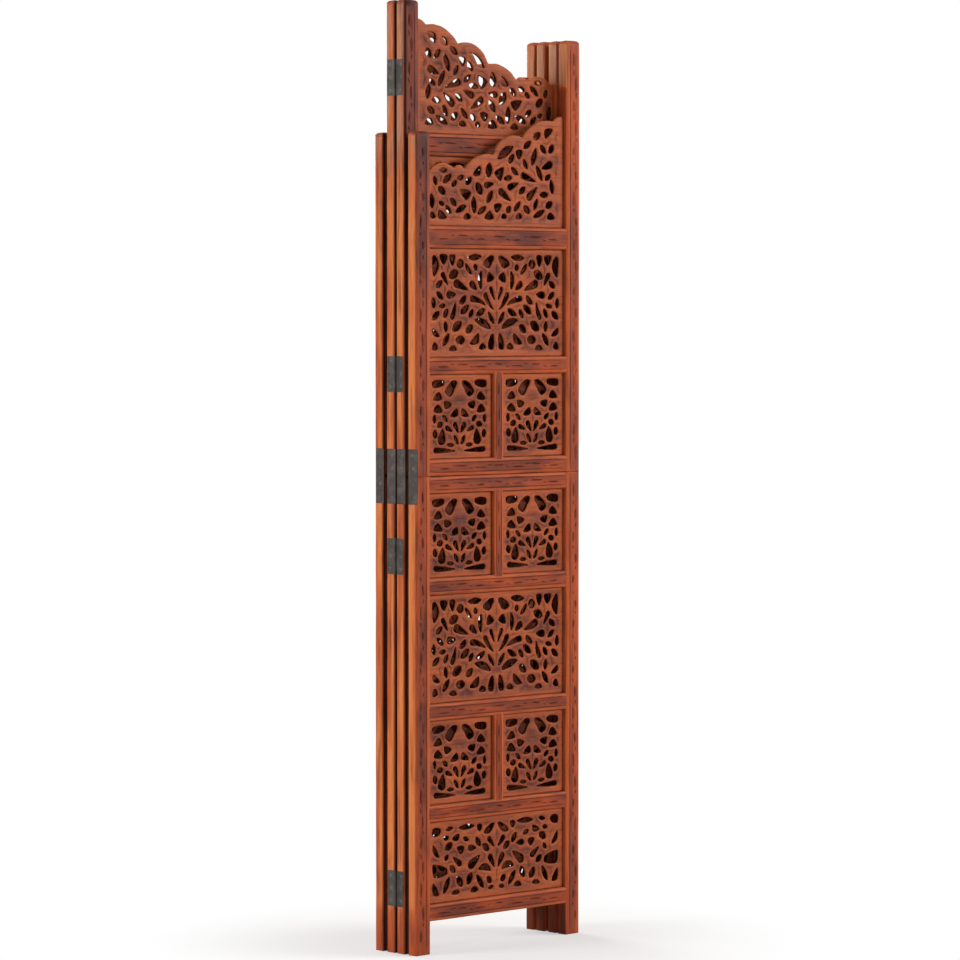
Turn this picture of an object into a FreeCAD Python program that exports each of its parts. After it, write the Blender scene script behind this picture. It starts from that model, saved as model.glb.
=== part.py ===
import FreeCAD, Part

import math
import os

# A folding screen of four carved wooden panels, folded flat in a stack. Panel 1 is the back one and
# panel 4 the front one. Each panel is a lower and an upper half, held together by iron plates let into
# the stile edges. Neighbouring panels hang on iron butt hinges, in turn on the right and the left edge.
# Lengths are in millimetres. A panel is drawn in its own frame: x from its left edge, y from its front
# face to its back face, z up from the floor.

# Panel frame
PANEL_WIDTH = 400.0
STILE_WIDTH = 35.0
STILE_THICKNESS = 22.0
STILE_ARRIS = 5.0
STILE_TOP_ROUND = 6.0
RAIL_HEIGHT = 29.0
CREST_RAIL_HEIGHT = 38.0
RAIL_SETBACK = 1.0
MUNTIN_WIDTH = 24.0

# Heights
FOOT_HEIGHT = 57.0
LOW_OPENING = 143.0
SMALL_OPENING = 147.0
BIG_OPENING = 189.0
BREAK_GAP = 0.6
INNER_PANEL_RISE = 160.0
OUTER_STILE_RISE = 74.0
SIDE_STILE_RISE = 85.0
CENTRE_STILE_RISE = 30.5

# Joinery
BOARD_THICKNESS = 7.0
BOARD_BORDER = 12.0
BOARD_TONGUE = 6.0
GROOVE_ROOM = 0.5
TENON_LENGTH = 20.0
WOOD_FIT = 0.15

# Hinges
HINGE_LENGTH = 62.0
LEAF_WIDTH = 18.0
LEAF_THICKNESS = 1.6
LEAF_OVERHANG = 0.5
KNUCKLE_RADIUS = 3.0
KNUCKLE_GAP = 0.4
PIN_RADIUS = 1.5
PIN_FIT = 0.05
PIN_HEAD_RADIUS = 2.4
PIN_HEAD_HEIGHT = 1.0
PANEL_GAP = 3.0
AXIS_OFFSET = 1.0
BOTTOM_HINGE_HEIGHT = 113.0
LOWER_HINGE_DROP = 138.0
UPPER_HINGE_RISE = 177.0
TOP_HINGE_DROP = 78.0

# Joining plates and screws
PLATE_LENGTH = 95.0
PLATE_WIDTH = 20.5
PLATE_THICKNESS = 2.0
PLATE_RECESS = 4.5
PLATE_SCREW_NEAR = 14.0
PLATE_SCREW_FAR = 36.0
METAL_FIT = 0.1
SCREW_LENGTH = 12.0
SHANK_RADIUS = 1.6
HEAD_RADIUS = 3.2
SCREW_FIT = 0.05
LEAF_SCREW_PITCH = 22.0

# How far each pair of neighbouring panels stands open, in degrees
OPEN_1_TO_2 = 0.7
OPEN_2_TO_3 = 0.8
OPEN_3_TO_4 = 0.6

Vector = FreeCAD.Vector
UP = Vector(0, 0, 1)
INNER_WIDTH = PANEL_WIDTH - 2 * STILE_WIDTH
BOARD_FRONT = (STILE_THICKNESS - BOARD_THICKNESS) / 2
BOARD_BACK = BOARD_FRONT + BOARD_THICKNESS
GROOVE_DEPTH = BOARD_TONGUE + GROOVE_ROOM


# Fretwork openings. A loop is a list of corners (u, v, sag): sag is how far the side from this corner
# to the next one bows to the left of its direction. u runs sideways and v upwards. LEAF_SWELL, DROP_SWELL
# and PATCH_SWELL say how much fuller than drawn the openings are sawn.
LEAF_SWELL = 1.25
DROP_SWELL = 1.15
PATCH_SWELL = 1.8


def leaf(u1, v1, u2, v2, width, bend=0.0):
    """A slot pointed at both ends."""
    half = width / 2 * LEAF_SWELL
    return [(u1, v1, half + bend), (u2, v2, half - bend)]


def drop(u1, v1, u2, v2, width, bend=0.0):
    """A slot that is round at its first end and pointed at its second."""
    length = math.hypot(u2 - u1, v2 - v1)
    along = ((u2 - u1) / length, (v2 - v1) / length)
    half = width / 2 * DROP_SWELL
    centre = (u1 + along[0] * half, v1 + along[1] * half)
    left = (centre[0] - along[1] * half, centre[1] + along[0] * half)
    right = (centre[0] + along[1] * half, centre[1] - along[0] * half)
    swell = width / 9
    round_end = (right[0], right[1], half * 0.98)
    return [(left[0], left[1], swell + bend), (u2, v2, swell - bend), round_end]


def patch(*corners):
    """A cornered hole whose sides bow out a little."""
    area = 0.0
    for (u1, v1), (u2, v2) in zip(corners, corners[1:] + corners[:1]):
        area += u1 * v2 - u2 * v1
    sag = -PATCH_SWELL if area > 0 else PATCH_SWELL
    return [(u, v, sag) for u, v in corners]


def mirrored(loop):
    return [(-u, v, -sag) for u, v, sag in loop]


# Small board: a pot of flowers, half of it, u from the middle line and v from the lowest hole.
SMALL_FIELD = (129.0, 128.0)
SMALL_HOLES = [
    patch((63, 128), (37, 128), (40, 120), (63, 117)),
    patch((6, 127), (20, 126), (35, 109), (23, 100), (13, 113)),
    patch((62, 95), (42, 96), (50, 108)),
    patch((37, 91), (33, 78), (19, 86)),
    patch((62, 74), (41, 72), (52, 86)),
    patch((22, 64), (4, 66), (7, 78)),
    leaf(60, 68, 60, 52, 6),
    leaf(41, 66, 29, 55, 6),
    leaf(54, 48, 40, 51, 8),
    drop(13, 53, 2.5, 33, 8),
    drop(34, 45, 17, 37, 7),
    leaf(60, 40, 57, 25, 8),
    drop(44, 13, 40, 42, 15),
    leaf(13, 30, 3.5, 13, 6),
    leaf(31, 13, 14, 12, 5),
    drop(62, 4, 10, 1.5, 8),
]

# Big board: a tree with fanned petals, half of it.
BIG_FIELD = (302.0, 164.0)
BIG_HOLES = [
    patch((150, 162), (143, 161), (136, 144), (148, 127)),
    patch((134, 164), (116, 163), (125, 147)),
    patch((111, 163), (98, 164), (104, 145)),
    leaf(94, 149, 78, 150, 12),
    leaf(68, 160, 35, 162, 8),
    leaf(74, 151, 58, 132, 6, 1.5),
    leaf(51, 149, 48, 138, 7),
    patch((6, 163), (20, 160), (32, 149), (18, 143), (10, 153)),
    leaf(112, 126, 91, 136, 12),
    drop(129, 134, 115, 112, 8),
    leaf(143, 108, 128, 120, 8),
    drop(101, 118, 67, 104, 12),
    drop(62, 118, 46, 104, 10),
    leaf(35, 138, 36, 105, 7, 3),
    patch((22, 118), (18, 135), (5, 125)),
    drop(118, 95, 96, 97, 11),
    leaf(141, 101, 126, 88, 7),
    leaf(149, 91, 148, 72, 7),
    leaf(136, 75, 120, 78, 6),
    leaf(88, 81, 73, 95, 8, 2),
    drop(62, 91, 25, 78, 9, -2),
    drop(29, 99, 6, 70, 8, 2),
    drop(14, 110, 4, 86, 6),
    leaf(85, 63, 65, 78, 9),
    leaf(49, 60, 27, 72, 8, 1),
    leaf(65, 56, 55, 71, 7),
    drop(106, 53, 97, 84, 8, 1.5),
    leaf(124, 56, 115, 72, 7),
    leaf(151, 53, 135, 67, 8),
    leaf(20, 67, 5, 45, 6),
    leaf(52, 52, 13, 37, 10, -3),
    leaf(72, 31, 56, 43, 10),
    leaf(104, 34, 83, 49, 12),
    patch((150, 38), (149, 27), (134, 24)),
    leaf(121, 50, 119, 31, 7),
    leaf(112, 29, 127, 7, 8),
    leaf(96, 17, 75, 18, 12),
    patch((63, 11), (42, 29), (44, 12)),
    patch((7, 29), (7, 3), (18, 3), (15, 20)),
    patch((41, 3), (25, 4), (33, 12)),
    patch((112, 1), (94, 1), (103, 8)),
    patch((151, 1), (139, 4), (146, 14)),
]

# Low board: a wider and lower plant, half of it.
LOW_FIELD = (304.0, 118.0)
LOW_HOLES = [
    patch((151, 117), (134, 116), (136, 107), (151, 104)),
    leaf(121, 113, 104, 116, 5),
    leaf(91, 114, 51, 115, 7),
    patch((46, 115), (34, 115), (40, 104)),
    patch((4, 116), (17, 112), (30, 101), (15, 100)),
    patch((106, 96), (90, 104), (92, 93)),
    leaf(126, 98, 113, 100, 6),
    leaf(80, 96, 66, 91, 6),
    leaf(122, 79, 106, 89, 10),
    patch((151, 89), (136, 67), (149, 74)),
    patch((94, 81), (77, 80), (85, 68)),
    drop(68, 77, 48, 76, 9),
    leaf(49, 95, 38, 78, 8),
    drop(20, 92, 4, 74, 8),
    leaf(32, 81, 18, 69, 9),
    leaf(123, 60, 115, 70, 6),
    drop(84, 49, 105, 65, 9),
    drop(66, 43, 39, 63, 13),
    patch((151, 55), (119, 46), (119, 36), (149, 33)),
    leaf(111, 50, 98, 38, 8),
    leaf(43, 37, 13, 33, 9, -6),
    drop(17, 62, 4, 38, 9),
    leaf(94, 30, 82, 12, 10),
    leaf(59, 34, 69, 14, 10),
    leaf(47, 29, 30, 4, 8),
    leaf(22, 23, 12, 12, 8),
    leaf(112, 31, 126, 3, 8),
    patch((151, 23), (137, 2), (150, 3)),
    patch((107, 1), (88, 2), (97, 7)),
    patch((62, 1), (43, 2), (53, 9)),
    leaf(20, 3, 6, 5, 5),
]

# Crest board: leafy scrolls, u from the low stile and v from the crest rail.
CREST_WIDTH = 330.0
CREST_HOLES = [
    leaf(9, 56, 12, 30, 9),
    leaf(16, 86, 21, 70, 7),
    leaf(28, 96, 47, 97, 6),
    leaf(37, 74, 57, 90, 8),
    leaf(58, 69, 70, 79, 7),
    leaf(70, 82, 87, 87, 7),
    leaf(26, 68, 42, 55, 10),
    leaf(54, 48, 69, 36, 8),
    leaf(27, 41, 40, 37, 6),
    leaf(43, 36, 56, 22, 7),
    patch((28, 27), (46, 15), (27, 14)),
    patch((9, 24), (20, 16), (9, 14)),
    patch((77, 64), (104, 60), (93, 46)),
    leaf(67, 24, 93, 36, 8, 1),
    leaf(92, 72, 105, 86, 8),
    patch((86, 14), (104, 15), (96, 23)),
    patch((109, 90), (126, 106), (126, 90)),
    leaf(110, 53, 112, 22, 9),
    leaf(117, 77, 130, 56, 12),
    leaf(119, 22, 140, 35, 8),
    leaf(149, 112, 146, 86, 12),
    drop(136, 72, 159, 75, 9),
    leaf(156, 63, 142, 42, 9),
    patch((137, 15), (159, 15), (149, 28)),
    patch((161, 95), (183, 105), (176, 81)),
    leaf(168, 119, 207, 142, 12, 1),
    patch((160, 38), (178, 40), (167, 25)),
    drop(171, 65, 201, 46, 11),
    leaf(183, 85, 204, 87, 7),
    leaf(196, 112, 208, 128, 8),
    leaf(201, 105, 218, 92, 7),
    drop(193, 68, 219, 78, 10),
    leaf(190, 26, 200, 36, 8),
    patch((178, 16), (190, 17), (184, 24)),
    patch((213, 134), (229, 134), (220, 119)),
    leaf(208, 28, 224, 46, 7),
    patch((212, 16), (228, 17), (221, 25)),
    leaf(221, 59, 236, 71, 8),
    drop(225, 93, 262, 81, 10),
    leaf(231, 120, 241, 103, 7),
    leaf(232, 139, 250, 152, 8),
    drop(241, 50, 266, 72, 11),
    leaf(263, 140, 252, 109, 9),
    leaf(232, 38, 247, 25, 9),
    leaf(256, 156, 273, 167, 10),
    leaf(263, 110, 278, 83, 8),
    leaf(273, 146, 287, 131, 8),
    leaf(272, 58, 293, 59, 8),
    leaf(266, 51, 257, 31, 7),
    drop(303, 114, 276, 104, 11),
    patch((285, 173), (304, 174), (286, 157)),
    leaf(295, 132, 306, 147, 9),
    leaf(285, 84, 298, 94, 7),
    leaf(299, 86, 304, 60, 8),
    leaf(287, 36, 303, 46, 9),
    leaf(256, 18, 284, 31, 8),
    patch((290, 17), (309, 17), (298, 27)),
]

# The crest's upper edge: a curl and a bead at the low end, then lobes that climb. An arc runs from the
# end of the one before, through a point on its way, to its own end, as (along the rail from the low
# stile, above the crest rail). The last arc ends at the high stile.
CREST_LOW_END = 88.0
CREST_HIGH_END = 198.0
CREST_ARCS = [
    ((32, 108), (64, 100)),
    ((77, 106), (89, 99)),
    ((111, 118), (158, 126)),
    ((179, 152), (230, 157)),
    ((252, 178), (306, 188)),
    ((316, 195), (CREST_WIDTH, CREST_HIGH_END)),
]


# Shapes

def box(x0, x1, y0, y1, z0, z1):
    return Part.makeBox(x1 - x0, y1 - y0, z1 - z0, Vector(x0, y0, z0))


def rod(radius, start, direction, length):
    return Part.makeCylinder(radius, length, start, direction)


def side_edge(start, end, sag):
    """A straight or bowed edge in the plane of a board's front face."""
    a = Vector(start[0], BOARD_FRONT, start[1])
    b = Vector(end[0], BOARD_FRONT, end[1])
    if abs(sag) < 0.05:
        return Part.makeLine(a, b)
    length = (b - a).Length
    middle = (a + b) * 0.5 + Vector(a.z - b.z, 0, b.x - a.x) * (sag / length)
    return Part.Arc(a, middle, b).toShape()


def loop_wire(loop):
    edges = []
    for (u1, v1, sag), (u2, v2, _) in zip(loop, loop[1:] + loop[:1]):
        edges.append(side_edge((u1, v1), (u2, v2), sag))
    return Part.Wire(edges)


def placed_loop(loop, x, z, scale_u, scale_v):
    sag_scale = (scale_u + scale_v) / 2
    return [(x + u * scale_u, z + v * scale_v, sag * sag_scale) for u, v, sag in loop]


def pierced_board(outline, holes):
    """A flat board: its outline and its openings, cut straight through."""
    face = Part.makeFace([outline] + [loop_wire(hole) for hole in holes], "Part::FaceMakerBullseye")
    return face.extrude(Vector(0, BOARD_THICKNESS, 0))


def fretted_board(x0, x1, z0, z1, half_pattern, field):
    """A rectangular board for the opening x0 to x1, z0 to z1, with a pattern that is alike on both sides."""
    middle = (x0 + x1) / 2
    scale_u = (x1 - x0 - 2 * BOARD_BORDER) / field[0]
    scale_v = (z1 - z0 - 2 * BOARD_BORDER) / field[1]
    holes = []
    for loop in half_pattern:
        for side in (loop, mirrored(loop)):
            holes.append(placed_loop(side, middle, z0 + BOARD_BORDER, scale_u, scale_v))
    grow = BOARD_TONGUE
    corners = [(x0 - grow, z0 - grow), (x1 + grow, z0 - grow), (x1 + grow, z1 + grow), (x0 - grow, z1 + grow)]
    outline = loop_wire([(x, z, 0) for x, z in corners])
    return pierced_board(outline, holes)


def crest_point(point, base):
    return (STILE_WIDTH + point[0] * INNER_WIDTH / CREST_WIDTH, base + point[1])


def crest_board(base):
    """The scalloped board between the stiles, with its low end on the left."""
    left = STILE_WIDTH - BOARD_TONGUE
    right = PANEL_WIDTH - STILE_WIDTH + BOARD_TONGUE
    foot = base - BOARD_TONGUE
    low_corner = (left, base + CREST_LOW_END)
    here = crest_point((0, CREST_LOW_END), base)
    edges = [side_edge((left, foot), low_corner, 0), side_edge(low_corner, here, 0)]
    for way, end in CREST_ARCS:
        corners = [here, crest_point(way, base), crest_point(end, base)]
        arc = Part.Arc(*[Vector(x, BOARD_FRONT, z) for x, z in corners])
        edges.append(arc.toShape())
        here = corners[2]
    high_corner = (right, base + CREST_HIGH_END)
    edges.append(side_edge(here, high_corner, 0))
    edges.append(side_edge(high_corner, (right, foot), 0))
    edges.append(side_edge((right, foot), (left, foot), 0))
    scale = INNER_WIDTH / CREST_WIDTH
    holes = [placed_loop(loop, STILE_WIDTH, base, scale, 1.0) for loop in CREST_HOLES]
    return pierced_board(Part.Wire(edges), holes)


# Levels of a panel, worked upwards from the floor

def panel_levels(inner):
    """The rails and openings of one panel: (bottom, top, half) and (bottom, top, kind, half)."""
    rails = []
    openings = []
    z = FOOT_HEIGHT
    for half, kinds in (("lower", ["low", "small", "big", "small"]), ("upper", ["small", "big"])):
        rails.append((z, z + RAIL_HEIGHT, half))
        z += RAIL_HEIGHT
        for kind in kinds:
            height = {"low": LOW_OPENING, "small": SMALL_OPENING, "big": BIG_OPENING}[kind]
            openings.append((z, z + height, kind, half))
            z += height
            if half == "lower" or kind == "small":
                rails.append((z, z + RAIL_HEIGHT, half))
                z += RAIL_HEIGHT
        if half == "lower":
            z += BREAK_GAP
    if inner:
        rails.append((z, z + RAIL_HEIGHT, "upper"))
        openings.append((z + RAIL_HEIGHT, z + INNER_PANEL_RISE, "low", "upper"))
        z += INNER_PANEL_RISE
    rails.append((z, z + CREST_RAIL_HEIGHT, "upper"))
    return rails, openings


OUTER_LEVELS = panel_levels(False)
INNER_LEVELS = panel_levels(True)
BREAK_TOP = [bottom for bottom, top, half in OUTER_LEVELS[0] if half == "upper"][0]
BREAK_LEVEL = BREAK_TOP - BREAK_GAP
OUTER_CREST_BASE = OUTER_LEVELS[0][-1][1]
INNER_CREST_BASE = INNER_LEVELS[0][-1][1]
OUTER_STILE_TOP = OUTER_CREST_BASE + CREST_LOW_END + OUTER_STILE_RISE
SIDE_STILE_TOP = INNER_CREST_BASE + CREST_LOW_END + SIDE_STILE_RISE
CENTRE_STILE_TOP = INNER_CREST_BASE + CREST_HIGH_END + CENTRE_STILE_RISE
HINGE_HEIGHTS = [
    BOTTOM_HINGE_HEIGHT,
    BREAK_LEVEL - LOWER_HINGE_DROP,
    BREAK_LEVEL + UPPER_HINGE_RISE,
    SIDE_STILE_TOP - TOP_HINGE_DROP,
]
SCREW_ROW = STILE_THICKNESS - (LEAF_WIDTH + STILE_ARRIS) / 2
LEAF_SCREWS = [-LEAF_SCREW_PITCH, 0.0, LEAF_SCREW_PITCH]
PLATE_SCREWS = [-PLATE_SCREW_FAR, -PLATE_SCREW_NEAR, PLATE_SCREW_NEAR, PLATE_SCREW_FAR]
PLATE_LEVEL = BREAK_LEVEL + BREAK_GAP / 2
AXIS_X = -AXIS_OFFSET
AXIS_Y = STILE_THICKNESS + PANEL_GAP / 2


# Hardware of a left stile edge, with the next panel behind it

def knuckle_spans(pair):
    """The lengths of the barrel that belong to a leaf: the two end thirds, or the middle third."""
    third = HINGE_LENGTH / 3
    half = HINGE_LENGTH / 2
    gap = KNUCKLE_GAP / 2
    if pair:
        return [(-half, -third / 2 - gap), (third / 2 + gap, half)]
    return [(-third / 2 + gap, third / 2 - gap)]


def hinge_leaf(level, pair):
    half = HINGE_LENGTH / 2
    leaf_shape = box(0, LEAF_THICKNESS, STILE_THICKNESS - LEAF_WIDTH, STILE_THICKNESS + LEAF_OVERHANG,
                     level - half, level + half)
    for low, high in knuckle_spans(not pair):
        start = Vector(AXIS_X, AXIS_Y, level + low - KNUCKLE_GAP)
        room = rod(KNUCKLE_RADIUS + KNUCKLE_GAP, start, UP, high - low + 2 * KNUCKLE_GAP)
        leaf_shape = leaf_shape.cut(room)
    for low, high in knuckle_spans(pair):
        leaf_shape = leaf_shape.fuse(rod(KNUCKLE_RADIUS, Vector(AXIS_X, AXIS_Y, level + low), UP, high - low))
    bore = rod(PIN_RADIUS + PIN_FIT, Vector(AXIS_X, AXIS_Y, level - half - 1), UP, HINGE_LENGTH + 2)
    leaf_shape = leaf_shape.cut(bore)
    for offset in LEAF_SCREWS:
        start = Vector(-1, SCREW_ROW, level + offset)
        leaf_shape = leaf_shape.cut(rod(HEAD_RADIUS + SCREW_FIT, start, Vector(1, 0, 0), LEAF_THICKNESS + 2))
    return leaf_shape.removeSplitter().Solids[0]


def hinge_pin(level):
    half = HINGE_LENGTH / 2
    pin = rod(PIN_RADIUS, Vector(AXIS_X, AXIS_Y, level - half), UP, HINGE_LENGTH)
    for z in (level - half - PIN_HEAD_HEIGHT, level + half):
        pin = pin.fuse(rod(PIN_HEAD_RADIUS, Vector(AXIS_X, AXIS_Y, z), UP, PIN_HEAD_HEIGHT))
    return pin.removeSplitter().Solids[0]


def screw(seat, y, z, head_height):
    """A wood screw driven into the stile edge, its head level with the metal that it holds."""
    head = rod(HEAD_RADIUS, Vector(seat - head_height, y, z), Vector(1, 0, 0), head_height)
    shank = rod(SHANK_RADIUS, Vector(seat, y, z), Vector(1, 0, 0), SCREW_LENGTH - head_height)
    return head.fuse(shank).removeSplitter().Solids[0]


def hinge_screws(level):
    return [screw(LEAF_THICKNESS, SCREW_ROW, level + offset, LEAF_THICKNESS) for offset in LEAF_SCREWS]


def plate_screws():
    seat = PLATE_RECESS
    middle = STILE_THICKNESS / 2
    return [screw(seat, middle, PLATE_LEVEL + offset, PLATE_THICKNESS) for offset in PLATE_SCREWS]


def joining_plate():
    """The iron plate across the break, in its recess in the stile edge."""
    margin = (STILE_THICKNESS - PLATE_WIDTH) / 2
    plate = box(PLATE_RECESS - PLATE_THICKNESS, PLATE_RECESS, margin, STILE_THICKNESS - margin,
                PLATE_LEVEL - PLATE_LENGTH / 2, PLATE_LEVEL + PLATE_LENGTH / 2)
    for offset in PLATE_SCREWS:
        start = Vector(0, STILE_THICKNESS / 2, PLATE_LEVEL + offset)
        plate = plate.cut(rod(HEAD_RADIUS + SCREW_FIT, start, Vector(1, 0, 0), PLATE_RECESS + 1))
    return plate.Solids[0]


# Wooden pieces

def stile_blank(bottom, top, rounded_top):
    """A left stile with rounded outer arrises and, on the upper half, a rounded top."""
    r = STILE_ARRIS
    chamfer = r * (1 - math.sqrt(0.5))
    t = STILE_THICKNESS
    w = STILE_WIDTH
    edges = [
        Part.makeLine(Vector(r, 0, bottom), Vector(w, 0, bottom)),
        Part.makeLine(Vector(w, 0, bottom), Vector(w, t, bottom)),
        Part.makeLine(Vector(w, t, bottom), Vector(r, t, bottom)),
        Part.Arc(Vector(r, t, bottom), Vector(chamfer, t - chamfer, bottom),
                 Vector(0, t - r, bottom)).toShape(),
        Part.makeLine(Vector(0, t - r, bottom), Vector(0, r, bottom)),
        Part.Arc(Vector(0, r, bottom), Vector(chamfer, chamfer, bottom),
                 Vector(r, 0, bottom)).toShape(),
    ]
    blank = Part.Face(Part.Wire(edges)).extrude(Vector(0, 0, top - bottom))
    if not rounded_top:
        return blank
    for x, inward in ((0, 1), (w, -1)):
        corner = box(min(x, x + inward * STILE_TOP_ROUND), max(x, x + inward * STILE_TOP_ROUND),
                     -1, t + 1, top - STILE_TOP_ROUND, top + 1)
        centre = Vector(x + inward * STILE_TOP_ROUND, -2, top - STILE_TOP_ROUND)
        corner = corner.cut(rod(STILE_TOP_ROUND, centre, Vector(0, 1, 0), t + 4))
        blank = blank.cut(corner)
    return blank


def board_groove(x0, x1, z0, z1):
    return box(x0, x1, BOARD_FRONT - WOOD_FIT, BOARD_BACK + WOOD_FIT, z0, z1)


def stile(half, top, levels, crest_span, seam):
    """A left stile with its mortises, grooves, plate recess and hinge recesses."""
    rails, openings = levels
    bottom = 0.0 if half == "lower" else BREAK_TOP
    shape = stile_blank(bottom, top, half == "upper")
    cuts = []
    inside = STILE_WIDTH + 1
    for low, high, rail_half in rails:
        if rail_half == half:
            cuts.append(board_groove(STILE_WIDTH - TENON_LENGTH - WOOD_FIT, inside,
                                     low + GROOVE_DEPTH - WOOD_FIT, high - GROOVE_DEPTH + WOOD_FIT))
    for low, high, kind, opening_half in openings:
        if opening_half == half:
            cuts.append(board_groove(STILE_WIDTH - GROOVE_DEPTH, inside,
                                     low - BOARD_TONGUE - WOOD_FIT, high + BOARD_TONGUE + WOOD_FIT))
    if crest_span and half == "upper":
        cuts.append(board_groove(STILE_WIDTH - GROOVE_DEPTH, inside,
                                 crest_span[0] - BOARD_TONGUE - WOOD_FIT, crest_span[1] + WOOD_FIT))
    cuts.append(box(-1, PLATE_RECESS, -1, STILE_THICKNESS + 1,
                    PLATE_LEVEL - PLATE_LENGTH / 2 - METAL_FIT, PLATE_LEVEL + PLATE_LENGTH / 2 + METAL_FIT))
    pilot = SHANK_RADIUS + SCREW_FIT
    for offset in PLATE_SCREWS:
        start = Vector(0, STILE_THICKNESS / 2, PLATE_LEVEL + offset)
        if (offset < 0) == (half == "lower"):
            cuts.append(rod(pilot, start, Vector(1, 0, 0), PLATE_RECESS + SCREW_LENGTH))
    for level in HINGE_HEIGHTS:
        if seam and bottom < level < top:
            reach = HINGE_LENGTH / 2 + METAL_FIT
            cuts.append(box(-1, LEAF_THICKNESS, STILE_THICKNESS - LEAF_WIDTH - METAL_FIT, STILE_THICKNESS + 1,
                            level - reach, level + reach))
            for offset in LEAF_SCREWS:
                start = Vector(0, SCREW_ROW, level + offset)
                cuts.append(rod(pilot, start, Vector(1, 0, 0), LEAF_THICKNESS + SCREW_LENGTH))
    return shape.cut(cuts).Solids[0]


def rail(low, high, grooved_below, grooved_above):
    front = RAIL_SETBACK
    back = STILE_THICKNESS - RAIL_SETBACK
    left = STILE_WIDTH
    right = PANEL_WIDTH - STILE_WIDTH
    shape = box(left, right, front, back, low, high)
    if grooved_below:
        shape = shape.cut(board_groove(left - 1, right + 1, low - 1, low + GROOVE_DEPTH))
    if grooved_above:
        shape = shape.cut(board_groove(left - 1, right + 1, high - GROOVE_DEPTH, high + 1))
    for x0, x1 in ((left - TENON_LENGTH, left), (right, right + TENON_LENGTH)):
        shape = shape.fuse(box(x0, x1, BOARD_FRONT, BOARD_BACK, low + GROOVE_DEPTH, high - GROOVE_DEPTH))
    return shape.removeSplitter().Solids[0]


def muntin(low, high):
    """The upright between two small boards, with a stub tenon in the groove of each rail."""
    middle = PANEL_WIDTH / 2
    half = MUNTIN_WIDTH / 2
    shape = box(middle - half, middle + half, RAIL_SETBACK, STILE_THICKNESS - RAIL_SETBACK, low, high)
    for edge, inward in ((middle - half, 1), (middle + half, -1)):
        x0, x1 = sorted((edge - inward, edge + inward * GROOVE_DEPTH))
        shape = shape.cut(board_groove(x0, x1, low - 1, high + 1))
    stub = half - GROOVE_DEPTH
    for z0, z1 in ((low - BOARD_TONGUE, low), (high, high + BOARD_TONGUE)):
        shape = shape.fuse(box(middle - stub, middle + stub, BOARD_FRONT, BOARD_BACK, z0, z1))
    return shape.removeSplitter().Solids[0]


def across(shape):
    """The same piece on the other side of the panel."""
    return shape.mirror(Vector(PANEL_WIDTH / 2, 0, 0), Vector(1, 0, 0))


def turned(shape):
    """The same piece with the front and back faces exchanged."""
    return shape.mirror(Vector(0, STILE_THICKNESS / 2, 0), Vector(0, 1, 0))


def on_edge(shape, side, seam):
    """A piece drawn for a left stile with its seam at the back, put on its own edge and face."""
    if seam == "front":
        shape = turned(shape)
    if side == "right":
        shape = across(shape)
    return shape


# One panel

def panel_nodes(name, inner, seams):
    """All pieces of one panel, apart from its hinges, by node name."""
    levels = INNER_LEVELS if inner else OUTER_LEVELS
    rails, openings = levels
    base = INNER_CREST_BASE if inner else OUTER_CREST_BASE
    low_side = "right" if inner else "left"
    nodes = {}
    screws = []
    plates = []
    for side in ("left", "right"):
        seam = seams.get(side)
        crest_end = CREST_LOW_END if side == low_side else CREST_HIGH_END
        side_top = SIDE_STILE_TOP
        if side == "left":
            side_top = CENTRE_STILE_TOP if inner else OUTER_STILE_TOP
        for half, top in (("lower", BREAK_LEVEL), ("upper", side_top)):
            shape = stile(half, top, levels, (base, base + crest_end), seam)
            nodes["%s_%s_%s_stile" % (name, half, side)] = [on_edge(shape, side, seam)]
        plates.append(on_edge(joining_plate(), side, seam))
        screws += [on_edge(piece, side, seam) for piece in plate_screws()]
        if seam:
            for level in HINGE_HEIGHTS:
                screws += [on_edge(piece, side, seam) for piece in hinge_screws(level)]

    rail_solids = {"lower": [], "upper": []}
    opening_bottoms = [low for low, high, kind, half in openings] + [base]
    opening_tops = [high for low, high, kind, half in openings]
    for low, high, half in rails:
        rail_solids[half].append(rail(low, high, low in opening_tops, high in opening_bottoms))
    nodes[name + "_lower_rails"] = rail_solids["lower"]
    nodes[name + "_upper_rails"] = rail_solids["upper"]

    left = STILE_WIDTH
    right = PANEL_WIDTH - STILE_WIDTH
    middle = PANEL_WIDTH / 2
    wide = []
    small = []
    muntins = []
    for low, high, kind, half in openings:
        if kind == "small":
            muntins.append(muntin(low, high))
            small.append(fretted_board(left, middle - MUNTIN_WIDTH / 2, low, high, SMALL_HOLES, SMALL_FIELD))
            small.append(fretted_board(middle + MUNTIN_WIDTH / 2, right, low, high, SMALL_HOLES, SMALL_FIELD))
        elif kind == "big":
            wide.append(fretted_board(left, right, low, high, BIG_HOLES, BIG_FIELD))
        else:
            wide.append(fretted_board(left, right, low, high, LOW_HOLES, LOW_FIELD))
    crest = crest_board(base)
    nodes[name + "_muntins"] = muntins
    nodes[name + "_wide_boards"] = wide
    nodes[name + "_small_boards"] = small
    nodes[name + "_crest_board"] = [across(crest) if inner else crest]
    nodes[name + "_joining_plates"] = plates
    nodes[name + "_screws"] = screws
    return nodes


def hinge_solids(side, seam, pair):
    return [on_edge(hinge_leaf(level, pair), side, seam) for level in HINGE_HEIGHTS]


def pin_solids(side, seam):
    return [on_edge(hinge_pin(level), side, seam) for level in HINGE_HEIGHTS]


# Where the panels stand

def hinge_point(side, seam):
    """The hinge axis in a panel's own frame."""
    x = AXIS_X if side == "left" else PANEL_WIDTH - AXIS_X
    y = AXIS_Y if seam == "back" else STILE_THICKNESS - AXIS_Y
    return Vector(x, y, 0)


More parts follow.
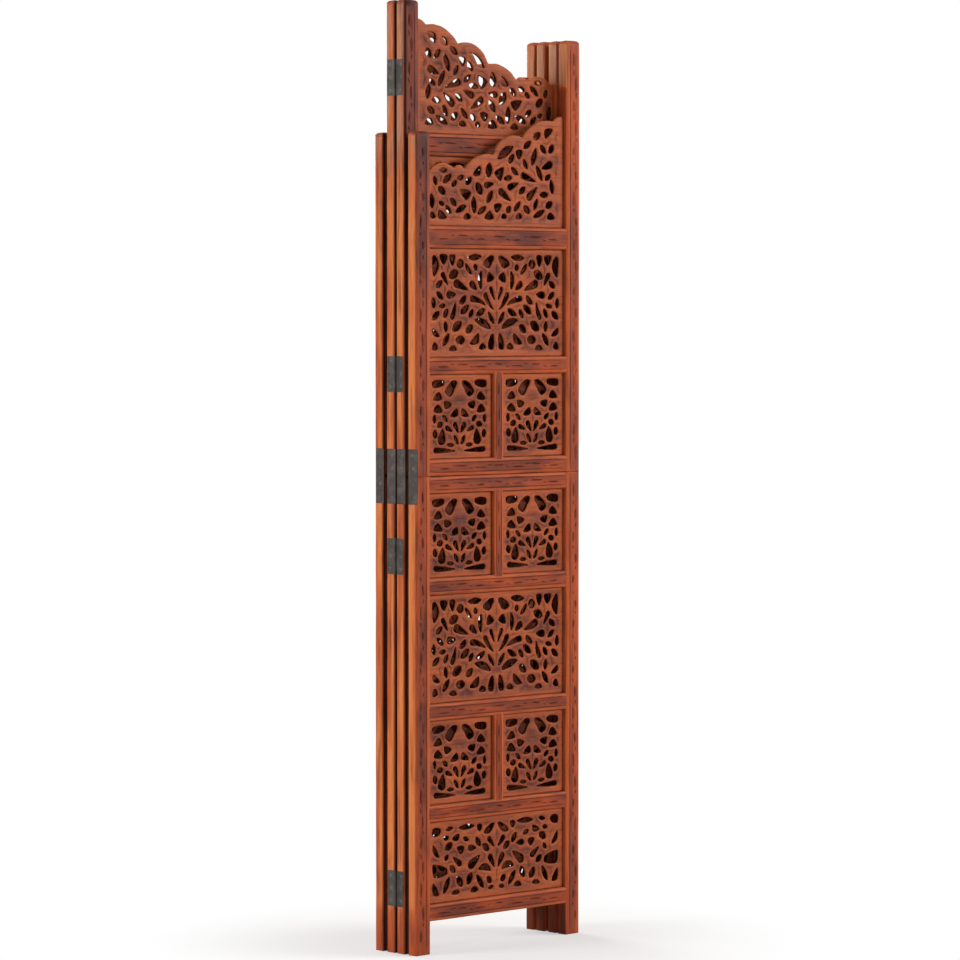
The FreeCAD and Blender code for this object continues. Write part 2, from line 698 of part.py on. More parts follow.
def behind(front_place, side, angle):
    """The place of the panel behind, opened by an angle on the hinge at one side."""
    turn = -angle if side == "right" else angle
    pivot = front_place.multVec(hinge_point(side, "back"))
    rotation = front_place.Rotation.multiply(FreeCAD.Rotation(UP, turn))
    return FreeCAD.Placement(pivot - rotation.multVec(hinge_point(side, "front")), rotation)


PLACES = {"panel_4": FreeCAD.Placement()}
PLACES["panel_3"] = behind(PLACES["panel_4"], "right", OPEN_3_TO_4)
PLACES["panel_2"] = behind(PLACES["panel_3"], "left", OPEN_2_TO_3)
PLACES["panel_1"] = behind(PLACES["panel_2"], "right", OPEN_1_TO_2)

SEAMS = {
    "panel_1": {"right": "front"},
    "panel_2": {"right": "back", "left": "front"},
    "panel_3": {"left": "back", "right": "front"},
    "panel_4": {"right": "back"},
}
INNER_PANELS = ("panel_2", "panel_3")
HINGE_LINES = [
    ("hinge_1_2", "right", "panel_2", "panel_1"),
    ("hinge_2_3", "left", "panel_2", "panel_3"),
    ("hinge_3_4", "right", "panel_3", "panel_4"),
]

assembly = {}


def add(node, panel, solids):
    shape = Part.makeCompound(solids)
    shape.Placement = PLACES[panel].multiply(shape.Placement)
    assembly[node] = shape


for panel, seams in SEAMS.items():
    for node, solids in panel_nodes(panel, panel in INNER_PANELS, seams).items():
        add(node, panel, solids)
for line, side, holder, swinger in HINGE_LINES:
    add("%s_leaves_on_%s" % (line, holder), holder, hinge_solids(side, SEAMS[holder][side], True))
    add("%s_leaves_on_%s" % (line, swinger), swinger, hinge_solids(side, SEAMS[swinger][side], False))
    add("%s_pins" % line, holder, pin_solids(side, SEAMS[holder][side]))

# The origin is on the floor, at the middle of the folded stack.
whole = FreeCAD.BoundBox()
for shape in assembly.values():
    whole.add(shape.optimalBoundingBox(False))
to_origin = FreeCAD.Placement(Vector(-whole.Center.x, -whole.Center.y, -whole.ZMin), FreeCAD.Rotation())

os.makedirs("parts", exist_ok=True)
for node, shape in assembly.items():
    shape.Placement = to_origin.multiply(shape.Placement)
    bad = [solid for solid in shape.Solids if not solid.isValid()]
    if bad:
        raise ValueError("%s holds a solid that is not valid" % node)
    shape.exportStep("parts/%s.step" % node)
print("%d nodes, %d solids" % (len(assembly), sum(len(shape.Solids) for shape in assembly.values())))
for line, side, holder, swinger in HINGE_LINES:
    place = to_origin.multiply(PLACES[holder])
    print(line, "axis at", place.multVec(hinge_point(side, SEAMS[holder][side])))
print("size", whole.XLength, whole.YLength, whole.ZLength)
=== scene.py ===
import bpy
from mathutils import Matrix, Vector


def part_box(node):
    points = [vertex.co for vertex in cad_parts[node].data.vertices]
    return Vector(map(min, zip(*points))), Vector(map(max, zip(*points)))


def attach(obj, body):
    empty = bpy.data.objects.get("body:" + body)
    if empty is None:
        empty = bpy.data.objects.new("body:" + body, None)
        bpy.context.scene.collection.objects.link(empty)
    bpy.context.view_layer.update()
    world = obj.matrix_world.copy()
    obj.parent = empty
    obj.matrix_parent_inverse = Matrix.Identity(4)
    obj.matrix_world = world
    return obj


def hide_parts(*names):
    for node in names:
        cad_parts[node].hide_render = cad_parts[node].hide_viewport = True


bl_info = {
    "name": "Carved folding screen",
    "version": (1, 0, 0),
    "blender": (4, 5, 0),
    "location": "3D View > Sidebar > Screen",
    "description": "Dresses the folding screen: carved stiles and rails, fretted boards and iron fittings",
    "category": "Object",
}

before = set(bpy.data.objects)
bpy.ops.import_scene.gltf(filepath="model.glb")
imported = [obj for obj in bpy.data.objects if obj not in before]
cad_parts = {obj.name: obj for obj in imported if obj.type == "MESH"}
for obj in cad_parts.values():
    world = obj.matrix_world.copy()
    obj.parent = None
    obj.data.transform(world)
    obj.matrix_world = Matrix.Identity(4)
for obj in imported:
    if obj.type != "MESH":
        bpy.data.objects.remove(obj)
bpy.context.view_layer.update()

import math
import random

import bmesh
import bpy
import numpy as np
from bpy.props import FloatProperty, FloatVectorProperty, PointerProperty
from mathutils import Vector, noise
from mathutils.geometry import delaunay_2d_cdt

MM = 0.001
HAND_SEED = 7
PANELS = ("panel_1", "panel_2", "panel_3", "panel_4")
PHOTO_PIXELS = 960
SENSOR_WIDTH = 36.0
WHITE = (1.0, 1.0, 1.0)


def srgb(code):
    """A colour written as on screen, 0xRRGGBB, as linear red, green and blue."""
    channels = []
    for shift in (16, 8, 0):
        value = ((code >> shift) & 255) / 255
        channels.append(value / 12.92 if value <= 0.04045 else ((value + 0.055) / 1.055) ** 2.4)
    return tuple(channels)


# Settings that a user would change

def length(name, description, default):
    return FloatProperty(name=name, description=description, default=default, unit="LENGTH", precision=5)


def colour(name, description, code):
    return FloatVectorProperty(name=name, description=description, default=srgb(code), subtype="COLOR",
                               size=3, min=0.0, max=1.0)


class ScreenFrameSettings(bpy.types.PropertyGroup):
    """Stiles, rails and muntins."""
    outer_arris: length("Outer arris", "Rounding of a stile's outer edges", 0.005)
    stile_bevel: length("Stile bevel", "Width of a stile's rubbed bevel beside the boards", 0.009)
    rail_bevel: length("Rail bevel", "Width of a rail's rubbed bevel beside the boards", 0.0052)
    bevel_depth: length("Bevel depth", "Depth of the rubbed bevels", 0.003)
    top_round: length("Top rounding", "Rounding of a stile's top end", 0.0085)
    foot_round: length("Foot rounding", "Rounding of a stile's foot", 0.0025)
    break_round: length("Break rounding", "Rounding where the two halves of a panel meet", 0.0012)
    line_width: length("Line width", "Width of the line scratched beside a bevel", 0.0016)
    line_depth: length("Line depth", "Depth of the line scratched beside a bevel", 0.0008)
    rail_cut_length: length("Rail cut length", "Length of one carved stroke on a rail", 0.033)
    rail_cut_width: length("Rail cut width", "Width of one carved stroke on a rail", 0.0042)
    stile_cut_length: length("Stile cut length", "Length of one carved stroke on a stile", 0.026)
    stile_cut_width: length("Stile cut width", "Width of one carved stroke on a stile", 0.0068)
    cut_depth: length("Cut depth", "Depth of one carved stroke", 0.0018)
    cut_pitch: length("Cut pitch", "Distance from one carved stroke to the next", 0.04)
    handled_height: length("Handled height", "Height up to which hands have worn the stiles' edges", 0.98)
    dull_height: length("Dull height", "Height from which the stiles' edges are dull", 1.42)
    pale_height: length("Pale height", "Height from which the stiles' outer edges get paler", 1.0)
    # painted shade at the feet: darker, less rubbed wood up to this height
    foot_shade_height: length("Soil height", "Height up to which the feet are soiled", 0.09)
    wobble: length("Wobble", "How far hand work strays from a straight line", 0.0003)


class ScreenBoardSettings(bpy.types.PropertyGroup):
    """Pierced boards and crests."""
    rim_width: length("Rim width", "Widest rounded rim of an opening", 0.003)
    rim_drop: length("Rim drop", "Depth of the rounded rim of each opening", 0.0016)
    spacing: length("Outline spacing", "Distance between points on an opening's outline", 0.0018)
    vein_length: length("Vein length", "Longest incised vein", 0.02)
    vein_width: length("Vein width", "Width of an incised vein", 0.0015)
    vein_depth: length("Vein depth", "Depth of an incised vein", 0.0008)
    wobble: length("Wobble", "How far hand sawing strays from the pattern", 0.0006)
    opening: length("Opening", "How far the saw widens an opening past its line", 0.0005)
    tight_opening: length("Tight opening", "The same on the two rear panels", -0.0004)
    saw_marks: length("Saw marks", "How rough the sawn outline of an opening is", 0.0004)
    tongue: length("Tongue", "How far a board reaches into the frame", 0.006)
    # stain with painted shade: the board darkens where it meets the frame
    stain_and_shade_reach: length("Stain reach", "How far dark stain spreads from the frame over a board", 0.0026)
    # partly wear, partly painted highlight: a warmer, brighter band along the plain border
    border_warmth_and_highlight: FloatProperty(name="Border warmth", description="How much warmer the plain border is",
                                 default=2.0)


class ScreenWoodSettings(bpy.types.PropertyGroup):
    """Colours of the stained and waxed wood."""
    flat: colour("Frame", "Stained colour of the frame's flat faces", 0x833F2D)
    warm: colour("Frame's warm streaks", "Colour of the frame's brighter grain", 0xB4502A)
    board: colour("Boards", "Stained colour of the boards", 0x7E4330)
    board_warm: colour("Boards' warm streaks", "Colour of the boards' brighter grain", 0xAC5631)
    cool: colour("Cool patches", "Colour of the duller, cooler patches", 0x5E322B)
    dark: colour("Dark streaks", "Colour of the dark grain", 0x46201A)
    rubbed: colour("Rubbed edges", "Colour of edges that are rubbed a little", 0xBA5C30)
    worn: colour("Worn edges", "Colour where handling has worn the stain away", 0xD67D44)
    bare: colour("Bare wood", "Colour of wood that never took the stain", 0xB28B70)
    # stain in carved cuts, used also as painted shade in the gaps, the openings, beside the frame and at the
    # feet
    stain_and_shade: colour("Stain in cuts", "Colour of the stain that gathers in cuts", 0x1C0C08)


class ScreenIronSettings(bpy.types.PropertyGroup):
    """Colours of the iron fittings."""
    iron: colour("Iron", "Colour of the dark iron", 0x38332F)
    bright: colour("Rubbed iron", "Colour of rubbed high spots", 0x4E4742)
    rust: colour("Rust", "Colour of the rust specks", 0x453228)
    screw: colour("Screw heads", "Colour of the rubbed screw heads", 0x6A635C)


class ScreenStageSettings(bpy.types.PropertyGroup):
    """Camera, lights and floor."""
    camera_place: FloatVectorProperty(name="Camera place", description="Where the camera stands", size=3,
                                      default=(-5.1051, -5.3226, 1.1129), subtype="TRANSLATION")
    camera_yaw: FloatProperty(name="Camera turn", description="Camera direction, from +Y towards +X",
                              default=math.radians(43.824), subtype="ANGLE")
    camera_pitch: FloatProperty(name="Camera tilt", description="How far the camera looks down",
                                default=math.radians(2.301), subtype="ANGLE")
    focal_pixels: FloatProperty(name="Focal length in pixels", description="In the frame of 960 pixels",
                                default=4192.1)
    key_power: FloatProperty(name="Key light", description="Power of the light in front", default=280.0,
                             subtype="POWER")
    side_power: FloatProperty(name="Side light", description="Power of the light on the left", default=150.0,
                              subtype="POWER")
    back_power: FloatProperty(name="Back light", description="Power of the light behind", default=160.0,
                              subtype="POWER")
    sky: FloatProperty(name="Sky", description="Strength of the even light", default=0.36)
    floor: colour("Floor", "Colour of the floor", 0xF2F0EE)


# Shader building

class Shade:
    """A shader socket that takes part in plain arithmetic."""

    def __init__(self, tree, socket=None):
        self.tree = tree
        self.socket = socket

    def node(self, kind, settings=None, sockets=None, output=0):
        """Adds a node: its type, its settings, the values or links of its sockets, the output to use."""
        made = self.tree.nodes.new(kind)
        for name, value in (settings or {}).items():
            setattr(made, name, value)
        for name, value in (sockets or {}).items():
            target = find_socket(made.inputs, name)
            if isinstance(value, Shade):
                self.tree.links.new(value.socket, target)
            elif isinstance(target.default_value, float):
                target.default_value = value
            else:
                target.default_value = (*value, 1.0) if len(target.default_value) == 4 else value
        return Shade(self.tree, find_socket(made.outputs, output) if made.outputs else None)

    def maths(self, operation, *values):
        return self.node("ShaderNodeMath", {"operation": operation}, dict(enumerate(values)))

    def __add__(self, other):
        return self.maths("ADD", self, other)

    def __radd__(self, other):
        return self.maths("ADD", other, self)

    def __sub__(self, other):
        return self.maths("SUBTRACT", self, other)

    def __rsub__(self, other):
        return self.maths("SUBTRACT", other, self)

    def __mul__(self, other):
        return self.maths("MULTIPLY", self, other)

    def __rmul__(self, other):
        return self.maths("MULTIPLY", other, self)

    def clamped(self):
        return self.node("ShaderNodeClamp", None, {"Value": self}, "Result")

    def between(self, low, high):
        """0 below low, 1 above high, smooth in between."""
        sockets = {"Value": self, "From Min": low, "From Max": high}
        return self.node("ShaderNodeMapRange", {"interpolation_type": "SMOOTHSTEP"}, sockets, "Result")

    def mixed(self, first, second):
        """first where this value is 0, second where it is 1."""
        sockets = {"Factor_Float": self.clamped(), "A_Color": first, "B_Color": second}
        return self.node("ShaderNodeMix", {"data_type": "RGBA"}, sockets, "Result_Color")

    def stretched(self, scale):
        """A vector, with each axis multiplied by its own scale."""
        return self.node("ShaderNodeVectorMath", {"operation": "MULTIPLY"}, {0: self, 1: scale}, "Vector")

    def shifted(self, other):
        """A vector, with another one added."""
        return self.node("ShaderNodeVectorMath", {"operation": "ADD"}, {0: self, 1: other}, "Vector")

    def noise(self, scale, detail=3.0, roughness=0.55, output="Fac"):
        """Noise over a vector, stretched by a scale on each axis."""
        sockets = {"Vector": self.stretched(scale), "Scale": 1.0, "Detail": detail, "Roughness": roughness}
        return self.node("ShaderNodeTexNoise", None, sockets, output)


def find_socket(sockets, name):
    """The socket with this number, this identifier or this name."""
    if isinstance(name, int):
        return sockets[name]
    for socket in sockets:
        if socket.identifier == name:
            return socket
    return sockets[name]


def new_material(name):
    """An empty node material and the Shade that fills it."""
    material = bpy.data.materials.new(name)
    material.use_nodes = True
    material.node_tree.nodes.clear()
    return material, Shade(material.node_tree)


def finish_surface(shade, base, roughness, height, bump, distance, constants=None):
    """Ends a material: its varying colour, roughness and height, and its constant values."""
    sockets = {"Height": height, "Strength": bump, "Distance": distance}
    normal = shade.node("ShaderNodeBump", None, sockets, "Normal")
    sockets = {"Base Color": base, "Roughness": roughness, "Normal": normal}
    sockets.update(constants or {})
    surface = shade.node("ShaderNodeBsdfPrincipled", None, sockets, "BSDF")
    shade.node("ShaderNodeOutputMaterial", None, {"Surface": surface})


def vector_attribute(shade, name):
    """A vector that each mesh carries at its corners."""
    return shade.node("ShaderNodeAttribute", {"attribute_name": name}, None, "Vector")


def parts_of(shade, vector):
    """The three numbers of a vector."""
    first = shade.node("ShaderNodeSeparateXYZ", None, {"Vector": vector}, "X")
    return [Shade(shade.tree, output) for output in first.socket.node.outputs]


def wood_material(name, wood, colours, warmth, streaks, patchy):
    """Stained wood: streaked along the grain, worn on its edges, dark in its cuts, with painted shade where
    its marks ask for it.

    colours: of the flat faces and of the brighter grain. warmth, streaks and patchy: how much it has of the
    brighter grain, of the dark streaks and of the cool patches. Each corner of a mesh says where it lies in
    the grain, in metres, and how far it is cut or shaded (1 is full of stain in cuts, and of painted shade
    in the gaps, the openings, beside the frame and at the feet), worn (past 1 is bare) and warm (tone).
    """
    material, shade = new_material(name)
    grain = vector_attribute(shade, "grain")
    cut, wear, tone = parts_of(shade, vector_attribute(shade, "marks"))
    wave = grain.noise((6.0, 16.0, 16.0), 1.0, 0.4, "Color").stretched((0.0, 0.014, 0.014))
    wavy = grain.shifted(wave)
    bands = wavy.noise((2.6, 62.0, 62.0), 2.0, 0.5)
    rings = wavy.noise((4.0, 170.0, 170.0), 3.0, 0.6)
    fibres = wavy.noise((14.0, 620.0, 620.0), 2.0, 0.6)
    pores = wavy.noise((70.0, 2200.0, 2200.0), 1.0, 0.5).between(0.62, 0.74)
    patches = grain.noise((6.0, 24.0, 24.0), 2.0, 0.5)
    clouds = parts_of(shade, grain.noise((7.0, 26.0, 26.0), 3.0, 0.55, "Color"))[1]
    rubbed = grain.noise((11.0, 75.0, 75.0), 3.0, 0.6)
    handled = grain.noise((3.5, 50.0, 50.0), 2.0, 0.5)
    heat = bands.between(0.4, 0.62) * 0.55 + patches.between(0.36, 0.66) * 0.5 + wear * 0.4 + tone * 0.3
    base = (heat + (warmth - 0.45)).mixed(tuple(colours[0]), tuple(colours[1]))
    dull = (tone * -1.0).clamped()
    cool = clouds.between(0.44, 0.62) * (1.35 * patchy - tone * (0.5 * patchy)) + dull * 0.5
    base = cool.mixed(base, tuple(wood.cool))
    base = (wear.between(0.1, 0.6) * rubbed.between(0.3, 0.56) * 0.9).mixed(base, tuple(wood.rubbed))
    bright = wear.between(0.6, 0.85) * handled.between(0.34, 0.58) * (0.85 - dull * 0.75)
    base = bright.mixed(base, tuple(wood.worn))
    base = (wear.between(1.0, 1.2) * rings.between(0.4, 0.56) * 0.8).mixed(base, tuple(wood.bare))
    base = (rings.between(0.52, 0.7) * streaks + pores * 0.25).mixed(base, tuple(wood.dark))
    base = (fibres.between(0.4, 0.75) * 0.3).mixed(base, tuple(wood.dark))
    # stain in cuts, and painted shade where the marks carry it
    base = (cut * 0.96).mixed(base, tuple(wood.stain_and_shade))
    roughness = 0.42 + fibres * 0.16 + cut * 0.2 - wear * 0.06
    height = fibres * 0.6 - pores * 0.5 + rings * 0.4
    finish_surface(shade, base, roughness, height, 0.35, 0.0005, {"Specular IOR Level": 0.09})
    return material


def iron_material(name, low, high, rust):
    """Old iron: pitted, with rust specks and rubbed high spots."""
    material, shade = new_material(name)
    place = shade.node("ShaderNodeTexCoord", None, None, "Object")
    pits = place.noise((700.0, 700.0, 700.0), 3.0, 0.65)
    cloud = place.noise((60.0, 60.0, 60.0), 3.0, 0.6)
    base = cloud.between(0.38, 0.68).mixed(tuple(low), tuple(high))
    specks = place.noise((260.0, 260.0, 260.0), 4.0, 0.7).between(0.56, 0.72)
    base = (specks * 0.55).mixed(base, tuple(rust))
    roughness = 0.48 + pits * 0.3
    finish_surface(shade, base, roughness, pits * 0.7 + cloud * 0.3, 0.4, 0.0003, {"Metallic": 0.5})
    return material


# Reading the frame

def welded(node):
    """A node's corners and triangles, with equal corners joined."""
    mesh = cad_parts[node].data
    corners = np.array([vertex.co for vertex in mesh.vertices], float)
    keys, index = np.unique(np.round(corners * 1e6).astype(np.int64), axis=0, return_inverse=True)
    index = index.reshape(-1)
    faces = [tuple(int(index[corner]) for corner in face.vertices) for face in mesh.polygons]
    return keys * 1e-6, faces


def solids(node):
    """The separate solids of a node, each as corners and faces."""
    corners, faces = welded(node)
    leader = list(range(len(corners)))

    def root(item):
        while leader[item] != item:
            leader[item] = leader[leader[item]]
            item = leader[item]
        return item

    for face in faces:
        first = root(face[0])
        for corner in face[1:]:
            leader[root(corner)] = first
    groups = {}
    for face in faces:
        groups.setdefault(root(face[0]), []).append(face)
    parts = []
    for key in sorted(groups):
        used = sorted({corner for face in groups[key] for corner in face})
        place = {corner: number for number, corner in enumerate(used)}
        parts.append((corners[used], [tuple(place[corner] for corner in face) for face in groups[key]]))
    return parts


class PanelPlace:
    """A panel's own frame, in millimetres: x along the panel from its middle, y front to back, z up."""

    def __init__(self, panel):
        left = sum(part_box(panel + "_lower_left_stile"), Vector()) / 2
        right = sum(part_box(panel + "_lower_right_stile"), Vector()) / 2
        along = Vector((right.x - left.x, right.y - left.y, 0.0)).normalized()
        middle = (left + right) / 2
        self.body = panel
        self.turn = np.array(((along.x, -along.y, 0.0), (along.y, along.x, 0.0), (0.0, 0.0, 1.0)))
        self.origin = np.array((middle.x, middle.y, 0.0))

    def local(self, corners):
        return (corners - self.origin) @ self.turn / MM

    def world(self, corners):
        return np.asarray(corners, float) * MM @ self.turn.T + self.origin

    def solids(self, node):
        return [(self.local(corners), faces) for corners, faces in solids(node)]


PLACES = {panel: PanelPlace(panel) for panel in PANELS}


def front_range(corners):
    """The lowest and highest corner of a solid's front face."""
    face = corners[corners[:, 1] < corners[:, 1].min() + 0.3]
    return face.min(0), face.max(0)


# Mesh building

class Heap:
    """Corners and faces of one piece, in a panel's frame, with grain and marks for each corner."""

    def __init__(self):
        self.corners = []
        self.faces = []
        self.grain = []
        self.marks = []
        self.count = 0

    def add(self, corners, faces, grain, marks):
        self.corners.append(np.asarray(corners, float))
        self.grain.append(np.asarray(grain, float))
        self.marks.append(np.asarray(marks, float))
        self.faces.extend(tuple(corner + self.count for corner in face) for face in faces)
        self.count += len(corners)

    def piece(self, name, place, material, node, slot, sharp=40.0):
        """Makes the object, sets it on its body and hides the CAD node that it takes the place of."""
        mesh = bpy.data.meshes.new(name)
        mesh.from_pydata(place.world(np.vstack(self.corners)).tolist(), [], self.faces)
        for layer, rows in (("grain", self.grain), ("marks", self.marks)):
            attribute = mesh.attributes.new(layer, "FLOAT_VECTOR", "POINT")
            attribute.data.foreach_set("vector", np.vstack(rows).astype(np.float32).ravel())
        work = bmesh.new()
        work.from_mesh(mesh)
        bmesh.ops.recalc_face_normals(work, faces=work.faces)
        work.to_mesh(mesh)
        work.free()
        mesh.shade_smooth()
        mesh.set_sharp_from_angle(angle=math.radians(sharp))
        mesh.materials.append(material)
        obj = bpy.data.objects.new(name, mesh)
        bpy.context.scene.collection.objects.link(obj)
        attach(obj, place.body)
        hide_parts(node)


def joined(points, faces, extras):
    """Joins points that lie within a grid step of each other and drops the faces that vanish."""
    steps_per_mm = 500
    points = np.asarray(points, float)
    _, first, index = np.unique(np.round(points * steps_per_mm).astype(np.int64), axis=0,
                                return_index=True, return_inverse=True)
    index = index.reshape(-1)
    kept = []
    for face in faces:
        loop = []
        for corner in face:
            item = int(index[corner])
            if not loop or loop[-1] != item:
                loop.append(item)
        if loop[0] == loop[-1]:
            loop.pop()
        if len(loop) >= 3:
            kept.append(tuple(loop))
    return points[first], kept, np.asarray(extras, float)[first]


def strayed(points, amount, scale, seed):
    """Moves points by smooth noise, as hand work strays from the line, and the same in each run."""
    noise.seed_set(HAND_SEED)
    moved = np.array(points, float)
    for row in moved:
        drift = noise.noise_vector(Vector((row[0] / scale + seed, row[1] / scale, row[2] / scale)))
        row += np.array(drift) * amount
    return moved


def loop_area(loop):
    """Twice the area of a closed line, positive where it runs anticlockwise."""
    return float(np.sum(loop[:, 0] * np.roll(loop[:, 1], -1) - np.roll(loop[:, 0], -1) * loop[:, 1]))


class FlatCut:
    """A flat face with cuts: points with a depth and marks, edges that have to stay, and holes."""

    def __init__(self):
        self.points = []
        self.data = []
        self.edges = []
        self.loops = []
        self.is_hole = []

    def loop(self, points, depth, cut, wear, hole=None):
        """A closed line. hole is True for an opening, False for the outer edge, None for a line only."""
        start = len(self.points)
        total = len(points)
        points = np.asarray(points, float)
        if hole is not None and loop_area(points) < 0:
            points = points[::-1]
        self.points.extend(Vector((float(u), float(v))) for u, v in points)
        self.data.extend([(depth, cut, wear, 1.0 if hole else 0.0)] * total)
        if hole is None:
            self.edges.extend((start + k, start + (k + 1) % total) for k in range(total))
        else:
            self.loops.append(list(range(start, start + total)))
            self.is_hole.append(hole)

    def dots(self, points, depth, cut, wear):
        """Loose points, which only carry marks."""
        self.points.extend(Vector((float(u), float(v))) for u, v in points)
        self.data.extend([(depth, cut, wear, 0.0)] * len(points))

    def vee(self, spine, half_widths, depths, dark=1.0):
        """A V-shaped cut along a spine, pointed at both ends."""
        spine = np.asarray(spine, float)
        ahead = np.gradient(spine, axis=0)
        ahead /= np.linalg.norm(ahead, axis=1)[:, None]
        side = np.stack([-ahead[:, 1], ahead[:, 0]], 1) * np.asarray(half_widths)[:, None]
        left = spine[1:-1] + side[1:-1]
        right = spine[1:-1] - side[1:-1]
        self.loop(np.vstack([spine[:1], left, spine[-1:], right[::-1]]), 0.0, 0.25 * dark, 0.0)
        start = len(self.points)
        first_tip = start - 2 * len(left) - 2
        last_tip = first_tip + len(left) + 1
        for point, depth in zip(spine[1:-1], depths[1:-1]):
            self.points.append(Vector((float(point[0]), float(point[1]))))
            self.data.append((float(depth), dark, 0.0, 0.0))
        chain = [first_tip] + list(range(start, len(self.points))) + [last_tip]
        self.edges.extend(zip(chain, chain[1:]))

    def triangles(self):
        """Points, their depth and marks, and the triangles outside the holes."""
        points, edges, faces, from_points, from_edges, from_faces = delaunay_2d_cdt(
            self.points, self.edges, self.loops, 1, 1e-5, True)
        data = [self.data[source[0]] if source else (0.0, 0.0, 0.0, 0.0) for source in from_points]
        kept = []
        for face, sources in zip(faces, from_faces):
            inside = [self.is_hole[source] for source in sources]
            if False in inside and True not in inside:
                kept.append(tuple(face))
        return np.array([tuple(point) for point in points]), np.array(data), kept


# Stiles, rails and muntins, in millimetres

ARC_POINTS = 5         # on each rounded corner of a bar's section
SPLIT_PAIR = (3 * ARC_POINTS, 3 * ARC_POINTS + 1)    # the double point on a section's outer edge
END_STEPS = 3          # on each rounded end of a bar
ROW_STEP = 16.0        # between the sections of a bar
TINY = 0.01
FLAT_WEAR = 0.3        # wear as in the marks: 0 is none, past 1 is bare
BARE_WEAR = 1.4        # of wood that the crests never covered
PALE_WEAR = 1.15       # of the outer edges at the top
WEAR_LOST = 0.55       # share of the handling wear that is missing at the top
DULL_TONE = -0.9       # tone of the stiles at the top
FOOT_SHADE = 0.6             # how much the painted shade at the feet hides
LINE_CLEARANCE = 0.4   # between a scratched line and the bevel beside it
LINE_STEP = 14.0
LINE_STRAY = 0.15
GAP_SHADE_REACH = 1.5      # of the painted shade in the gaps, past an arris onto the face
GAP_SHADE_STEP = 5.0
TWIG_ROOM = 5.5        # half the width of a flat that has room for twigs between the strokes
JOINT_REACH = 3.0      # of a rail or muntin into what it meets
FITTING_ROOM = 0.1     # around an iron fitting in its recess
FITTING_REACH = 8.0    # farthest that a fitting lies from the edge that it is let into
CREST_END = 3.0        # width of a crest's end
STILE_MARGIN = 14.0    # from a bar's end to its first carved stroke
RAIL_MARGIN = 12.0
MUNTIN_MARGIN = 10.0


def leaf_cut(face, centre, length_mm, width_mm, depth_mm, tilt, bow, dark):
    """One carved stroke on a bar's face, pointed at both ends."""
    stations = np.linspace(0.0, 1.0, 9)
    along = (stations - 0.5) * length_mm
    across = bow * np.sin(stations * 2 * math.pi)
    swell = np.sin(stations * math.pi)
    cosine = math.cos(tilt)
    sine = math.sin(tilt)
    spine = np.column_stack([centre[0] + along * cosine - across * sine,
                             centre[1] + along * sine + across * cosine])
    face.vee(spine, width_mm / 2 * swell ** 0.8, depth_mm * swell ** 0.6, dark)


def edge_lines(face, bar, settings, draw):
    """A line scratched along the flat beside each bevel."""
    half = settings.line_width / MM / 2
    rows = [bar.width - bar.inner[0] - half - LINE_CLEARANCE]
    if bar.outer == bar.inner:
        rows.append(bar.outer[0] + half + LINE_CLEARANCE)
    first = bar.end_rounds[0] + 1.5
    last = bar.length - bar.end_rounds[1] - 1.5
    stops = np.linspace(first, last, max(4, int((last - first) / LINE_STEP)))
    for row in rows:
        stray = [draw.uniform(-LINE_STRAY, LINE_STRAY) for stop in stops]
        spine = np.column_stack([stops, row + np.array(stray)])
        face.vee(spine, np.full(len(stops), half), np.full(len(stops), settings.line_depth / MM), 0.6)


def vine_cuts(face, bar, margin, size, settings, draw, left_over=1.0):
    """Carved strokes along a bar, in turn above and below the middle of its flat.

    size: length and width of a stroke. left_over: how much of the strokes wear has left.
    """
    start = margin
    end = bar.length - margin
    line = settings.line_width / MM + 1.0
    low = bar.outer[0] + (line if bar.outer == bar.inner else 0.0)
    high = bar.width - bar.inner[0] - line
    middle = (low + high) / 2
    room = (high - low) / 2 - 0.6
    pitch = settings.cut_pitch / MM
    total = max(1, int((end - start) / pitch))
    step = (end - start) / total
    width = min(size[1], room * 0.9)
    swing = min(3.4, max(0.3, room - width / 2 - 1.4))
    depth = settings.cut_depth / MM * left_over
    for number in range(total):
        side = 1 if number % 2 else -1
        along = start + step * (number + 0.5) + draw.uniform(-2.5, 2.5)
        centre = (along, middle + side * swing * draw.uniform(0.5, 1.0))
        scale = draw.uniform(0.6, 1.12)
        broad = width * draw.uniform(0.7, 1.0)
        tilt = math.radians(side * draw.uniform(1.0, 5.0))
        dark = draw.uniform(0.35, 0.85) * left_over
        leaf_cut(face, centre, size[0] * scale, broad, depth, tilt, side * 0.6, dark)
        if room > TWIG_ROOM and number + 1 < total:
            twig = (centre[0] + step * 0.5, middle - side * swing * 0.9)
            tilt = math.radians(-side * draw.uniform(6.0, 12.0))
            dark = draw.uniform(0.3, 0.7) * left_over
            leaf_cut(face, twig, size[0] * 0.4 * scale, width * 0.5, depth * 0.7, tilt, 0.2, dark)


def corner_arc(width_at, depth_at, radii, start_angle):
    """Points of a rounded corner in a bar's section."""
    points = []
    for step in range(ARC_POINTS):
        angle = start_angle + math.radians(90.0 * step / (ARC_POINTS - 1))
        points.append((width_at + radii[0] * math.cos(angle), depth_at + radii[1] * math.sin(angle)))
    return points


